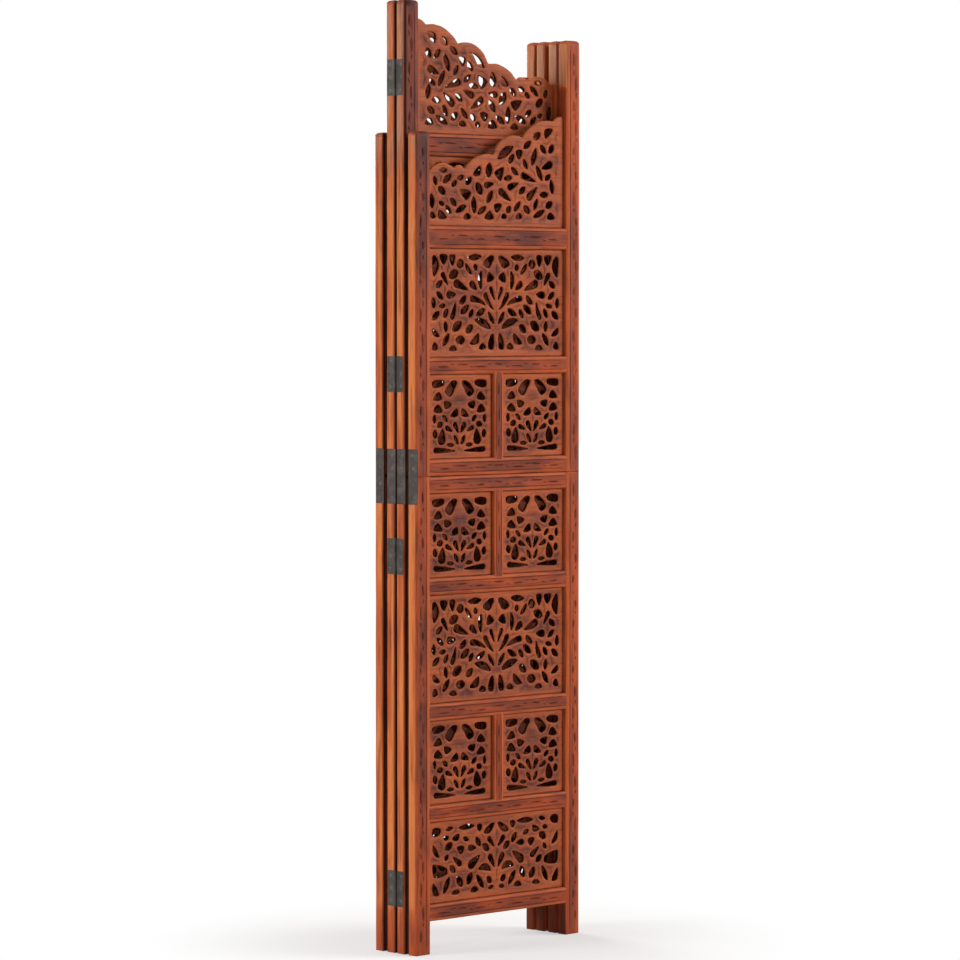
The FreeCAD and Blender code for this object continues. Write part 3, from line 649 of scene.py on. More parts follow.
class Bar:
    """A wooden bar with rounded arrises, carved faces and recesses in its outer edge.

    l runs along the bar, w from its outer to its inner edge and t from its front to its back face.
    The last argument: whether painted shade darkens the outer edge's front and back arris, as in the gaps
    between the folded panels.
    """

    def __init__(self, length_mm, width, thick, outer, inner, end_rounds, gap_shaded=(False, False)):
        self.length = length_mm
        self.width = width
        self.thick = thick
        self.outer = outer
        self.inner = inner
        self.end_rounds = end_rounds
        self.gap_shaded = gap_shaded
        self.recesses = []

    def section(self, split):
        """The section's outline: (w, t, cut, wear), with a double point at t = split on the outer edge."""
        a, d = self.outer
        b, e = self.inner
        w = self.width
        t = self.thick
        bevel_wear = (0.3, 0.5, 0.6, 0.5, 0.3)
        handled = self.outer != self.inner
        arris_wear = (0.85, 0.75, 0.5, 0.35, 0.3) if handled else bevel_wear
        side_wear = 0.85 if handled else 0.2
        clean = (0.0, 0.0, 0.0, 0.0, 0.0)
        # painted shade across the outer arris, on the sides that face the next panel in the gaps
        dark = (0.0, 0.12, 0.6, 0.92, 0.95)
        front_shade, back_shade = (dark if gap_shaded else clean for gap_shaded in self.gap_shaded)
        corners = (((w - b, e), (b, e), -90, clean, bevel_wear),
                   ((w - b, t - e), (b, e), 0, clean, bevel_wear),
                   ((a, t - d), (a, d), 90, back_shade[::-1], arris_wear[::-1]),
                   ((a, d), (a, d), 180, front_shade, arris_wear))
        rows = []
        for centre, radii, angle, cuts, wear in corners:
            if angle == 180:
                rows += [(0.0, split, 0.0, side_wear), (0.0, split, 0.0, side_wear)]
            arc = corner_arc(centre[0], centre[1], radii, math.radians(angle))
            rows += [(*point, *marks) for point, *marks in zip(arc, cuts, wear)]
        return rows

    def add_recess(self, start, end, depth, low, high):
        """A recess in the outer edge from l = start to end, over t = low to high."""
        self.recesses.append((start, end, depth, low, high))

    def rows(self):
        """Where the sections stand: (l, inset, recess or None)."""
        first, last = self.end_rounds
        stops = {first, self.length - last}
        count = max(2, int((self.length - first - last) / ROW_STEP))
        for number in range(1, count):
            stops.add(first + (self.length - first - last) * number / count)
        for start, end, depth, low, high in self.recesses:
            kept = {stop for stop in stops if abs(stop - start) > 2 and abs(stop - end) > 2}
            stops = kept | {first, self.length - last}
            stops |= {value for value in (start, end) if first < value < self.length - last}
        rows = []
        for l in sorted(stops):
            before = self.recess_at(l - 0.05)
            after = self.recess_at(l + 0.05)
            rows.append((l, 0.0, before))
            if after is not before:
                rows.append((l, 0.0, after))
        head = []
        tail = []
        for step in range(END_STEPS):
            angle = math.radians(90.0 * step / END_STEPS)
            for ends, radius in ((head, first), (tail, last)):
                if radius > 0:
                    reach = radius * (1 - math.cos(angle))
                    inset = radius * (1 - math.sin(angle))
                    l = reach if ends is head else self.length - reach
                    ends.append((l, inset, self.recess_at(l)))
        return head + rows + tail[::-1]

    def recess_at(self, l):
        """The recess that lies at l, or None."""
        for recess in self.recesses:
            if recess[0] <= l <= recess[1]:
                return recess
        return None

    def build(self, front, back):
        """Corners (l, w, t), faces and marks (cut, wear). front and back add cuts to a FlatCut."""
        split = self.thick / 2
        for start, end, depth, low, high in self.recesses:
            if low > 0:
                split = low
            elif high < self.thick:
                split = high
        outline = self.section(split)
        size = len(outline)
        rows = self.rows()
        points = []
        extras = []
        for l, inset, recess in rows:
            for number, (w, t, cut, wear) in enumerate(outline):
                if recess and recess[3] - TINY <= t <= recess[4] + TINY:
                    double = number in SPLIT_PAIR and recess[4] - recess[3] < self.thick
                    upper = number == SPLIT_PAIR[0]
                    if not double or upper == (recess[3] > 0):
                        w = max(w, recess[2])
                w = min(max(w, inset), self.width - inset)
                t = min(max(t, inset), self.thick - inset)
                points.append((l, w, t))
                extras.append((cut, wear))
        faces = []
        front_side = size - 1
        back_side = 2 * ARC_POINTS - 1
        first_main = self.end_rounds[0] - TINY
        last_main = self.length - self.end_rounds[1] + TINY
        for row in range(len(rows) - 1):
            main = rows[row][0] >= first_main and rows[row + 1][0] <= last_main
            for number in range(size):
                if main and number in (front_side, back_side):
                    continue
                after = (number + 1) % size
                a = row * size
                faces.append((a + number, a + after, a + size + after, a + size + number))
        faces.append(tuple(range(size)))
        faces.append(tuple((len(rows) - 1) * size + number for number in range(size)))
        stops = sorted({round(l, 4) for l, inset, recess in rows if first_main <= l <= last_main})
        sides = ((0.0, 1, front, self.gap_shaded[0]), (self.thick, -1, back, self.gap_shaded[1]))
        for t, sign, cuts, gap_shaded in sides:
            flat_points, data, triangles = self.carved_face(stops, cuts, gap_shaded)
            start = len(points)
            for (l, w), (depth, cut, wear, _) in zip(flat_points, data):
                points.append((l, w, t + sign * depth))
                extras.append((cut, wear))
            faces += [tuple(corner + start for corner in face) for face in triangles]
        return joined(points, faces, extras)

    def carved_face(self, stops, cuts, gap_shaded):
        """The front or back face between its arrises, with its cuts and, where asked, painted gap shade
        beside the outer arris.
        """
        flat = FlatCut()
        edge = [(l, self.outer[0]) for l in stops]
        edge += [(l, self.width - self.inner[0]) for l in reversed(stops)]
        flat.loop(edge, 0.0, 0.0, FLAT_WEAR, False)
        # points that stop the painted gap shade a little past the arris
        if gap_shaded:
            first = self.end_rounds[0] + 3
            last = self.length - self.end_rounds[1] - 3
            along = np.arange(first, last, GAP_SHADE_STEP)
            flat.dots([(l, self.outer[0] + GAP_SHADE_REACH) for l in along], 0.0, 0.0, FLAT_WEAR)
        cuts(flat)
        return flat.triangles()


def ramp(values, start, end):
    """0 at start, 1 at end, and no less or more beyond them."""
    return np.clip((values - start) / (end - start), 0.0, 1.0)


def add_bar(heap, bar, front, back, to_panel, settings, draw, warmth, weather=None):
    """Builds a bar and lays it in the heap, with its grain along its length.

    warmth is added to the bar's own tone. weather changes the marks (cut, wear, tone) as use and age did.
    """
    points, faces, extras = bar.build(front, back)
    seed = draw.uniform(0.0, 90.0)
    marks = np.column_stack([extras, np.full(len(points), draw.random() + warmth)])
    if weather:
        weather(points, marks)
    moved = strayed(points, settings.wobble / MM, 55.0, seed)
    offset = np.array((draw.uniform(0, 40), draw.uniform(0, 9), draw.uniform(0, 9)))
    heap.add([to_panel(row) for row in moved], faces, points * MM + offset, marks)


def let_in_fittings(bar, place, low, high, left):
    """Recesses in a stile's outer edge for the iron fittings that lie in it."""
    edge = low[0] if left else high[0]
    for fitting in fitting_nodes(place.body):
        for part, _ in place.solids(fitting):
            box_low = part.min(0)
            box_high = part.max(0)
            near = abs((box_low[0] if left else box_high[0]) - edge) < FITTING_REACH
            if not near or box_high[2] < low[2] or box_low[2] > high[2]:
                continue
            start = max(box_low[2] - low[2] - FITTING_ROOM, -1.0)
            end = min(box_high[2] - low[2] + FITTING_ROOM, bar.length + 1.0)
            inward = (box_high[0] - edge) if left else (edge - box_low[0])
            if "plates" in fitting:
                bar.add_recess(start, end, inward, 0.0, bar.thick)
            elif (box_low[1] + box_high[1]) / 2 > 0:
                bar.add_recess(start, end, inward, box_low[1] - low[1] - FITTING_ROOM, bar.thick)
            else:
                bar.add_recess(start, end, inward, 0.0, box_high[1] - low[1] + FITTING_ROOM)


def stile_heap(node, place, settings):
    """One stile, with the recesses that its iron fittings lie in."""
    corners = place.local(welded(node)[0])
    low = corners.min(0)
    high = corners.max(0)
    left = "left" in node
    upper = "upper" in node
    at_right = sum(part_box(node), Vector()).x > 0
    draw = random.Random(node)
    if upper:
        ends = (settings.break_round / MM, settings.top_round / MM)
    else:
        ends = (settings.foot_round / MM, settings.break_round / MM)
    arris = settings.outer_arris / MM
    bevel = (settings.stile_bevel / MM, settings.bevel_depth / MM)
    # painted shade on the arrises that face the next panel, where the gaps are
    gap_shaded = (place.body != PANELS[-1], place.body != PANELS[0])
    bar = Bar(high[2] - low[2], high[0] - low[0], high[1] - low[1], (arris, arris), bevel, ends, gap_shaded)
    let_in_fittings(bar, place, low, high, left)

    def cuts(face):
        size = (settings.stile_cut_length / MM, settings.stile_cut_width / MM)
        edge_lines(face, bar, settings, draw)
        left_over = 0.75 if at_right and upper else 1.0
        vine_cuts(face, bar, STILE_MARGIN, size, settings, draw, left_over)

    def to_panel(row):
        x = low[0] + row[1] if left else high[0] - row[1]
        return (x, low[1] + row[2], low[2] + row[0])

    def weather(points, marks):
        """Bare wood past the crests, pale outer edges higher up, and painted shade near the floor."""
        height = low[2] + points[:, 0]
        inside = points[:, 1] > bar.width - 1.0
        outside = points[:, 1] < 0.5
        if at_right and upper:
            crest = max(crest_end(PLACES[other], left) for other in PANELS)
            marks[inside & (height > crest), 1] = BARE_WEAR
        if not at_right:
            lost = ramp(height, settings.handled_height / MM, settings.dull_height / MM)
            marks[:, 1] *= 1.0 - WEAR_LOST * lost
            marks[:, 2] += (DULL_TONE - marks[:, 2]) * lost
            pale = ramp(height, settings.pale_height / MM, settings.dull_height / MM)
            marks[outside, 1] += (PALE_WEAR - marks[outside, 1]) * pale[outside]
        # painted shade at the feet: less wear there, and darker inner edges
        foot_shade = ramp(height, settings.foot_shade_height / MM, settings.foot_shade_height / MM / 2)
        marks[:, 1] *= 1.0 - FOOT_SHADE * foot_shade
        marks[inside, 0] = np.maximum(marks[inside, 0], FOOT_SHADE * foot_shade[inside])

    heap = Heap()
    add_bar(heap, bar, cuts, cuts, to_panel, settings, draw, 0.9 if at_right else 0.0, weather)
    return heap


def crest_end(place, left):
    """How high a panel's crest stands at one end."""
    corners = place.local(welded(place.body + "_crest_board")[0])
    across = corners[:, 0]
    at_end = across < across.min() + CREST_END if left else across > across.max() - CREST_END
    return corners[at_end, 2].max()


def fitting_nodes(panel):
    """The iron fittings let into a panel's stiles."""
    return [node for node in sorted(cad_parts) if node == panel + "_joining_plates"
            or node.endswith("leaves_on_" + panel)]


def crossbar_heap(node, place, settings, along, margin, warmth):
    """The rails (along = 0, sideways) or the muntins (along = 2, upwards) of one node."""
    across = 2 - along
    draw = random.Random(node)
    heap = Heap()
    bevel = (settings.rail_bevel / MM, settings.bevel_depth / MM)
    size = (settings.rail_cut_length / MM, settings.rail_cut_width / MM)
    for part, _ in place.solids(node):
        low, high = front_range(part)
        long = high[along] - low[along] + 2 * JOINT_REACH
        bar = Bar(long, high[across] - low[across], part[:, 1].max() - low[1], bevel, bevel, (0.0, 0.0))

        def cuts(face, bar=bar):
            edge_lines(face, bar, settings, draw)
            vine_cuts(face, bar, margin, size, settings, draw)

        def to_panel(row, low=low):
            corner = [0.0, low[1] + row[2], 0.0]
            corner[along] = low[along] - JOINT_REACH + row[0]
            corner[across] = low[across] + row[1]
            return corner

        add_bar(heap, bar, cuts, cuts, to_panel, settings, draw, warmth)
    return heap


# Pierced boards, in millimetres

EDGE_SPACING = 2.5     # between points on a crest's scalloped edge
VEIN_MARGIN = 9.0      # between a board's edge and the nearest vein
VEIN_KEEP_OFF = 13.0   # more than this from the edge counts as room for a vein
VEIN_STEP = 1.6
VEIN_SPACING = 4.6     # between the starts of two veins
VEIN_CLEARANCE = 3.4   # between two veins
DOT_SPACING = 3.5      # between the points that carry the stain and painted shade beside the frame
BORDER_FROM = 4.0      # where the plain border starts to give way to the carved field
BORDER_TO = 8.0
STAIN_AND_SHADE_FROM = 0.6       # where the stain and painted shade beside the frame start to fade
LIP = 0.35             # of the sharp edge where a rim meets a sawn wall


def face_loops(corners, faces):
    """The outlines of a board's front face, in (x, z): the outer edge first, then the openings."""
    front = corners[:, 1].min() + 1.0
    directed = set()
    for face in faces:
        if all(corners[corner, 1] < front for corner in face):
            directed.update(zip(face, face[1:] + face[:1]))
    follow = {a: b for a, b in directed if (b, a) not in directed}
    loops = []
    while follow:
        start = next(iter(follow))
        loop = [start]
        here = follow.pop(start)
        while here != start:
            loop.append(here)
            here = follow.pop(here)
        loops.append(corners[loop][:, [0, 2]])
    loops.sort(key=lambda loop: -np.ptp(loop[:, 0]) * np.ptp(loop[:, 1]))
    return loops


def even_loop(loop, spacing):
    """A closed line with evenly spaced points, its corners a little rounded."""
    closed = np.vstack([loop, loop[:1]])
    run = np.concatenate([[0.0], np.cumsum(np.linalg.norm(np.diff(closed, axis=0), axis=1))])
    count = max(10, int(run[-1] / spacing))
    stops = np.linspace(0.0, run[-1], count, endpoint=False)
    even = np.stack([np.interp(stops, run, closed[:, axis]) for axis in (0, 1)], 1)
    return 0.14 * np.roll(even, 1, 0) + 0.72 * even + 0.14 * np.roll(even, -1, 0)


def grown_loop(loop, amount):
    """A closed line moved outwards."""
    ahead = np.roll(loop, -1, 0) - np.roll(loop, 1, 0)
    ahead /= np.linalg.norm(ahead, axis=1)[:, None]
    side = np.stack([ahead[:, 1], -ahead[:, 0]], 1) * (1 if loop_area(loop) > 0 else -1)
    return loop + side * np.reshape(amount, (-1, 1))


def segment_distance(points, starts, ends):
    """Distance from each point to the nearest of many segments."""
    best = np.full(len(points), 1e9)
    for start, end in zip(starts, ends):
        along = end - start
        share = np.clip(((points - start) @ along) / max(along @ along, 1e-9), 0.0, 1.0)
        gap = np.linalg.norm(points - start - share[:, None] * along, axis=1)
        best = np.minimum(best, gap)
    return best


def inside_loop(points, loop):
    """Which points lie inside a closed line."""
    inside = np.zeros(len(points), bool)
    for (x1, y1), (x2, y2) in zip(loop, np.roll(loop, -1, 0)):
        if y1 == y2:
            continue
        crosses = (y1 > points[:, 1]) != (y2 > points[:, 1])
        inside ^= crosses & (points[:, 0] < (x2 - x1) * (points[:, 1] - y1) / (y2 - y1) + x1)
    return inside


def rim_widths(holes, widest):
    """How wide the rounded rim may be at each point of each opening, so that rims never meet."""
    everything = np.vstack(holes)
    owner = np.concatenate([np.full(len(hole), number) for number, hole in enumerate(holes)])
    widths = []
    for number, hole in enumerate(holes):
        others = everything[owner != number]
        gaps = np.min(np.linalg.norm(hole[:, None] - others[None], axis=2), axis=1)
        width = np.minimum(widest, 0.4 * gaps)
        width = np.minimum(width, np.minimum(np.roll(width, 1), np.roll(width, -1)))
        widths.append(0.25 * np.roll(width, 1) + 0.5 * width + 0.25 * np.roll(width, -1))
    return widths


class WebMap:
    """How far the wood at each place is from the nearest opening, so that veins follow its middle."""

    def __init__(self, outline, holes):
        self.low = outline.min(0) + VEIN_MARGIN
        high = outline.max(0) - VEIN_MARGIN
        self.shape = tuple(((high - self.low) / VEIN_STEP).astype(int) + 1)
        lines = [self.low[axis] + VEIN_STEP * np.arange(self.shape[axis]) for axis in (0, 1)]
        grid = np.stack(np.meshgrid(*lines, indexing="ij"), -1).reshape(-1, 2)
        gap = segment_distance(grid, outline, np.roll(outline, -1, 0)) - VEIN_KEEP_OFF
        gap[~inside_loop(grid, outline)] = -1.0
        for hole in holes:
            box_low = hole.min(0) - 12.0
            box_high = hole.max(0) + 12.0
            near = np.all((grid > box_low) & (grid < box_high), axis=1)
            part = grid[near]
            gap[near] = np.minimum(gap[near], segment_distance(part, hole, np.roll(hole, -1, 0)))
            within = np.zeros(len(grid), bool)
            within[near] = inside_loop(part, hole)
            gap[within] = -1.0
        self.grid = grid
        self.gap = gap.reshape(self.shape)

    def at(self, point):
        """The distance at any point, between those of the grid."""
        place = (np.asarray(point) - self.low) / VEIN_STEP
        i, j = int(place[0]), int(place[1])
        if not (0 <= i < self.shape[0] - 1 and 0 <= j < self.shape[1] - 1):
            return -1.0
        a, b = place[0] - i, place[1] - j
        gap = self.gap
        below = gap[i, j] * (1 - a) + gap[i + 1, j] * a
        above = gap[i, j + 1] * (1 - a) + gap[i + 1, j + 1] * a
        return below * (1 - b) + above * b

    def heading(self, point):
        """The direction in which the web of wood runs on."""
        best = None
        for angle in np.arange(0.0, math.pi, math.pi / 12):
            ray = np.array((math.cos(angle), math.sin(angle)))
            room = sum(self.at(point + ray * reach) for reach in (-5.0, -2.5, 2.5, 5.0))
            if best is None or room > best[0]:
                best = (room, ray)
        return best[1]

    def centred(self, point, ray):
        """A point moved sideways to the middle of the wood."""
        side = np.array((-ray[1], ray[0]))
        offsets = np.linspace(-0.8, 0.8, 5)
        return point + side * max(offsets, key=lambda offset: self.at(point + side * offset))

    def vein(self, start, reach, least):
        """A line both ways from a point, along the middle of the wood."""
        halves = []
        ray = self.heading(start)
        for way in (ray, -ray):
            here = start
            trail = []
            while len(trail) * VEIN_STEP < reach:
                here = self.centred(here + way * VEIN_STEP, way)
                if self.at(here) < least:
                    break
                if trail:
                    way = here - trail[-1]
                    way = way / np.linalg.norm(way)
                trail.append(here)
            halves.append(trail)
        return np.array(halves[1][::-1] + [start] + halves[0])

    def veins(self, reach, least):
        """Veins that keep clear of each other, those with the most room first."""
        order = np.argsort(-self.gap.reshape(-1), kind="stable")
        found = []
        taken = np.zeros((0, 2))
        for number in order:
            if self.gap.reshape(-1)[number] < least + 0.25:
                break
            start = self.grid[number]
            if len(taken) and np.min(np.linalg.norm(taken - start, axis=1)) < VEIN_SPACING:
                continue
            line = self.vein(start, reach / 2, least)
            if len(line) >= 5:
                if len(taken):
                    gaps = [np.min(np.linalg.norm(taken - point, axis=1)) for point in line]
                    if min(gaps) < VEIN_CLEARANCE:
                        taken = np.vstack([taken, start[None]])
                        continue
                found.append(line)
                taken = np.vstack([taken, line])
        return found


def frame_gap(points, outline, scalloped):
    """How far each point is from the nearest edge of a board that the frame holds."""
    low = outline.min(0)
    high = outline.max(0)
    gaps = [points[:, 0] - low[0], high[0] - points[:, 0], points[:, 1] - low[1]]
    if not scalloped:
        gaps.append(high[1] - points[:, 1])
    return np.min(gaps, axis=0)


def frame_dots(outline, holes, inset, scalloped):
    """Points on a board beside the frame, clear of the openings."""
    low = outline.min(0) + inset
    high = outline.max(0) - inset
    across = np.arange(low[0], high[0], DOT_SPACING)
    up = np.arange(low[1], high[1], DOT_SPACING)
    rows = [np.column_stack([across, np.full(len(across), low[1])])]
    rows += [np.column_stack([np.full(len(up), side), up]) for side in (low[0], high[0])]
    if not scalloped:
        rows.append(np.column_stack([across, np.full(len(across), high[1])]))
    dots = np.vstack(rows)
    dots = dots[inside_loop(dots, outline)]
    dots = dots[segment_distance(dots, outline, np.roll(outline, -1, 0)) > 3.0]
    return dots[np.min(np.linalg.norm(dots[:, None] - np.vstack(holes)[None], axis=2), axis=1) > 3.8]


BOARD_CACHE = {}


def board_sheet(outline, holes, settings, scalloped, opening):
    """One side of a pierced board about its middle: points (x, z), depth and marks, and triangles."""
    key = (len(holes), scalloped, opening, tuple(np.round(np.ptp(outline, axis=0), 2)),
           round(float(sum(hole[:, 0].mean() for hole in holes)), 1))
    if key in BOARD_CACHE:
        return BOARD_CACHE[key]
    rim = settings.rim_width / MM
    drop = settings.rim_drop / MM
    flat = FlatCut()
    outer = even_loop(outline, EDGE_SPACING) if scalloped else outline
    flat.loop(outer, drop if scalloped else 0.0, 0.0, 0.9 if scalloped else 0.0, False)
    if scalloped:
        flat.loop(grown_loop(outer, -0.9), 0.3 * drop, 0.0, 0.8)
        flat.loop(grown_loop(outer, -2.2), 0.0, 0.0, 0.4)
    smooth = [grown_loop(even_loop(hole, settings.spacing / MM), opening) for hole in holes]
    for hole, width in zip(smooth, rim_widths(smooth, rim)):
        # the opening's edge is darkened: painted shade where the rim drops into the hole
        flat.loop(hole, drop, 0.4, 0.2, True)
        flat.loop(grown_loop(hole, width * 0.35), 0.36 * drop, 0.0, 0.45)
        flat.loop(grown_loop(hole, width), 0.0, 0.0, 0.3)
    tongue = settings.tongue / MM
    reach = settings.stain_and_shade_reach / MM
    # points that carry the stain and painted shade beside the frame
    for inset in (tongue + STAIN_AND_SHADE_FROM, tongue + reach, tongue + 5.5):
        flat.dots(frame_dots(outline, smooth, inset, scalloped), 0.0, 0.0, 0.0)
    web = WebMap(outline, smooth)
    for line in web.veins(settings.vein_length / MM, rim + settings.vein_width / MM / 2 + 0.35):
        swell = np.sin(np.linspace(0.0, math.pi, len(line)))
        half_widths = settings.vein_width / MM / 2 * swell ** 0.7
        flat.vee(line, half_widths, settings.vein_depth / MM * swell ** 0.6, 0.3)
    points, data, triangles = flat.triangles()
    # stain with painted shade where the board meets the frame, fading over the reach
    gap = frame_gap(points, outline, scalloped) - tongue
    stain_and_shade = 0.8 * (1.0 - ramp(gap, STAIN_AND_SHADE_FROM, reach))
    data[:, 1] = np.maximum(data[:, 1], stain_and_shade)
    # the plain border is warmer and more worn: partly wear, partly painted highlight where the border is lit
    border = 1.0 - ramp(gap, BORDER_FROM, BORDER_TO)
    data[:, 2] = np.maximum(data[:, 2], 0.5 * border)
    BOARD_CACHE[key] = (points, np.column_stack([data, border]), triangles)
    return BOARD_CACHE[key]


def add_board(heap, part, settings, draw, scalloped, opening):
    """Lays one board in the heap: both faces, and the sawn walls of its openings."""
    corners, faces = part
    loops = face_loops(corners, faces)
    middle = (loops[0].min(0) + loops[0].max(0)) / 2
    loops = [loop - middle for loop in loops]
    points, data, triangles = board_sheet(loops[0], loops[1:], settings, scalloped, opening)
    front = corners[:, 1].min()
    back = corners[:, 1].max()
    total = len(points)
    depth = data[:, 0]
    seed = draw.uniform(0.0, 90.0)
    flat = np.column_stack([points[:, 0], np.zeros(total), points[:, 1]])
    moved = strayed(flat, settings.wobble / MM, 16.0, seed)
    moved = strayed(moved, settings.saw_marks / MM, 4.5, seed + 31.0)
    near = np.column_stack([moved[:, 0] + middle[0], front + depth, moved[:, 2] + middle[1]])
    far = near.copy()
    far[:, 1] = back - depth
    directed = set()
    for face in triangles:
        directed.update(zip(face, face[1:] + face[:1]))
    rims = [(a, b) for a, b in directed if (b, a) not in directed]
    rims.sort()
    made = list(triangles)
    made += [tuple(corner + total for corner in reversed(face)) for face in triangles]
    rim_points = sorted({corner for edge in rims for corner in edge})
    lip = np.array((0.0, LIP, 0.0))
    ring = {corner: 2 * total + number for number, corner in enumerate(rim_points)}
    count = len(rim_points)
    for a, b in rims:
        made.append((b, a, ring[a], ring[b]))
        made.append((ring[b], ring[a], ring[a] + count, ring[b] + count))
        made.append((ring[b] + count, ring[a] + count, a + total, b + total))
    placed = np.vstack([near, far, near[rim_points] + lip, far[rim_points] - lip])
    tone = draw.random() + settings.border_warmth_and_highlight * data[:, 4]
    offset = np.array((draw.uniform(0, 40), draw.uniform(0, 9), draw.uniform(0, 9)))
    grain = placed * MM
    grain = np.column_stack([grain[:, 0], grain[:, 2], grain[:, 1]]) + offset
    side_marks = np.column_stack([data[:, 1], data[:, 2], tone])
    # the sawn walls of the openings are painted dark as shade inside the holes; the crest's outer wall gets
    # wear instead
    sawn = data[rim_points, 3] > 0.5
    wall_shade_and_wear = np.column_stack([np.where(sawn, 1.0, 0.05), np.where(sawn, 0.0, 0.9), tone[rim_points]])
    heap.add(placed, made, grain, np.vstack([side_marks, side_marks, wall_shade_and_wear, wall_shade_and_wear]))


def board_heap(node, place, settings):
    """All the boards of one node."""
    draw = random.Random(node)
    heap = Heap()
    opening = (settings.tight_opening if place.body in PANELS[:2] else settings.opening) / MM
    for part in place.solids(node):
        add_board(heap, part, settings, draw, "crest" in node, opening)
    return heap


# Iron fittings

HEAD_BEVEL = 0.35      # depth of a screw head's turned edge, in millimetres
HEAD_DEPTH = 1.6
SLOT_DEPTH = 0.8
INNER_SHARE = 0.82     # of a screw head inside its turned edge, and of its slot at the bottom
SCREW_SIDES = 20


def screw_head(radius, turn, ring):
    """A head's face about its middle, with its slot turned to any angle."""
    face = FlatCut()
    face.loop(ring * radius, HEAD_BEVEL, 0.0, 0.0, False)
    face.loop(ring * radius * INNER_SHARE, 0.0, 0.0, 0.0)
    wheel = np.array([(math.cos(turn), math.sin(turn)), (-math.sin(turn), math.cos(turn))])
    square = np.array([(-1, -1), (1, -1), (1, 1), (-1, 1)])
    for size, depth in ((1.0, 0.0), (INNER_SHARE, SLOT_DEPTH)):
        slot = square * (radius * 0.74 * size, radius * 0.15 * size)
        face.loop(slot @ wheel, depth, 0.0, 0.0)
    return face.triangles()


def screw_heap(node, place):
    """Slotted countersunk screws with plain shanks."""
    draw = random.Random(node)
    heap = Heap()
    angles = np.linspace(0.0, 2 * math.pi, SCREW_SIDES, endpoint=False)
    ring = np.stack([np.cos(angles), np.sin(angles)], 1)
    for part, _ in place.solids(node):
        low = part.min(0)
        high = part.max(0)
        middle = (low + high) / 2
        radius = (high[1] - low[1]) / 2
        shank = radius * 0.5
        outward = -1 if middle[0] < 0 else 1
        head = low[0] if outward < 0 else high[0]
        tip = high[0] if outward < 0 else low[0]
        points, data, faces = screw_head(radius, draw.uniform(0.0, math.pi), ring)
        corners = []
        for (u, v), row in zip(points, data):
            corners.append((head - outward * row[0], middle[1] + u, middle[2] + v))
        start = len(corners)
        rim = head - outward * HEAD_BEVEL
        neck = head - outward * HEAD_DEPTH
        for x, size in ((rim, radius), (neck, shank * 1.3), (tip, shank)):
            corners += [(x, middle[1] + u * size, middle[2] + v * size) for u, v in ring]
        for level in range(2):
            a = start + level * SCREW_SIDES
            b = a + SCREW_SIDES
            for number in range(SCREW_SIDES):
                after = (number + 1) % SCREW_SIDES
                faces.append((a + number, a + after, b + after, b + number))
        faces.append(tuple(range(start + 2 * SCREW_SIDES, start + 3 * SCREW_SIDES)))
        corners, faces, _ = joined(corners, faces, np.zeros((len(corners), 2)))
        heap.add(corners, faces, corners * MM, np.zeros((len(corners), 3)))
    return heap


# Operators

def nodes_ending(*endings):
    """Each panel with its nodes of these kinds."""
    return [(panel, panel + ending) for panel in PANELS for ending in endings]


def frame_wood():
    """The wood of stiles, rails and muntins."""
    wood = bpy.context.scene.screen_wood
    return bpy.data.materials.get("carved_wood") or wood_material(
        "carved_wood", wood, (wood.flat, wood.warm), 0.34, 0.55, 0.7)


def board_wood():
    """The wood of the boards and crests."""
    wood = bpy.context.scene.screen_wood
    return bpy.data.materials.get("pierced_wood") or wood_material(
        "pierced_wood", wood, (wood.board, wood.board_warm), 0.4, 0.3, 0.7)


class SCREEN_OT_stage(bpy.types.Operator):
    """Camera, lights, floor and background"""
    bl_idname = "screen_kit.stage"
    bl_label = "Set the stage"

    def execute(self, context):
        settings = context.scene.screen_stage
        camera = bpy.data.cameras.new("camera")
        camera.sensor_width = SENSOR_WIDTH
        camera.lens = settings.focal_pixels / PHOTO_PIXELS * SENSOR_WIDTH
        camera.clip_end = 60.0
        holder = bpy.data.objects.new("camera", camera)
        holder.location = settings.camera_place
        holder.rotation_euler = (math.radians(90) - settings.camera_pitch, 0.0, -settings.camera_yaw)
        context.scene.collection.objects.link(holder)
        context.scene.camera = holder
        context.scene.view_settings.view_transform = "Standard"
        lights = (("key", (4.1, -4.1, 2.9), 3.2, settings.key_power),
                  ("side", (-4.7, 1.6, 2.2), 2.0, settings.side_power),
                  ("back", (1.0, 5.5, 3.0), 2.4, settings.back_power))
        aim = Vector((0.0, 0.0, 0.85))
        for name, place, size, power in lights:
            lamp = bpy.data.lights.new(name, "AREA")
            lamp.size = size
            lamp.energy = power
            light = bpy.data.objects.new(name, lamp)
            light.location = place
            light.rotation_euler = (aim - Vector(place)).to_track_quat("-Z", "Y").to_euler()
            context.scene.collection.objects.link(light)
        stage_world(context.scene, settings)
        stage_floor(context.scene, settings)
        return {"FINISHED"}


def seen_directly(shade):
    """1 for what the camera sees, also in a reflection or through glass."""
    rays = [shade.node("ShaderNodeLightPath", None, None, ray)
            for ray in ("Is Camera Ray", "Is Glossy Ray", "Is Transmission Ray")]
    return (rays[0] + rays[1] + rays[2]).clamped()


def stage_world(scene, settings):
    """Even light, with a white background for the camera and for reflections."""
    world = bpy.data.worlds.new("studio")
    world.use_nodes = True
    world.node_tree.nodes.clear()
    scene.world = world
    shade = Shade(world.node_tree)
    strength = settings.sky + seen_directly(shade) * (1.0 - settings.sky)
    sockets = {"Color": WHITE, "Strength": strength}
    background = shade.node("ShaderNodeBackground", None, sockets, "Background")
    shade.node("ShaderNodeOutputWorld", None, {"Surface": background})


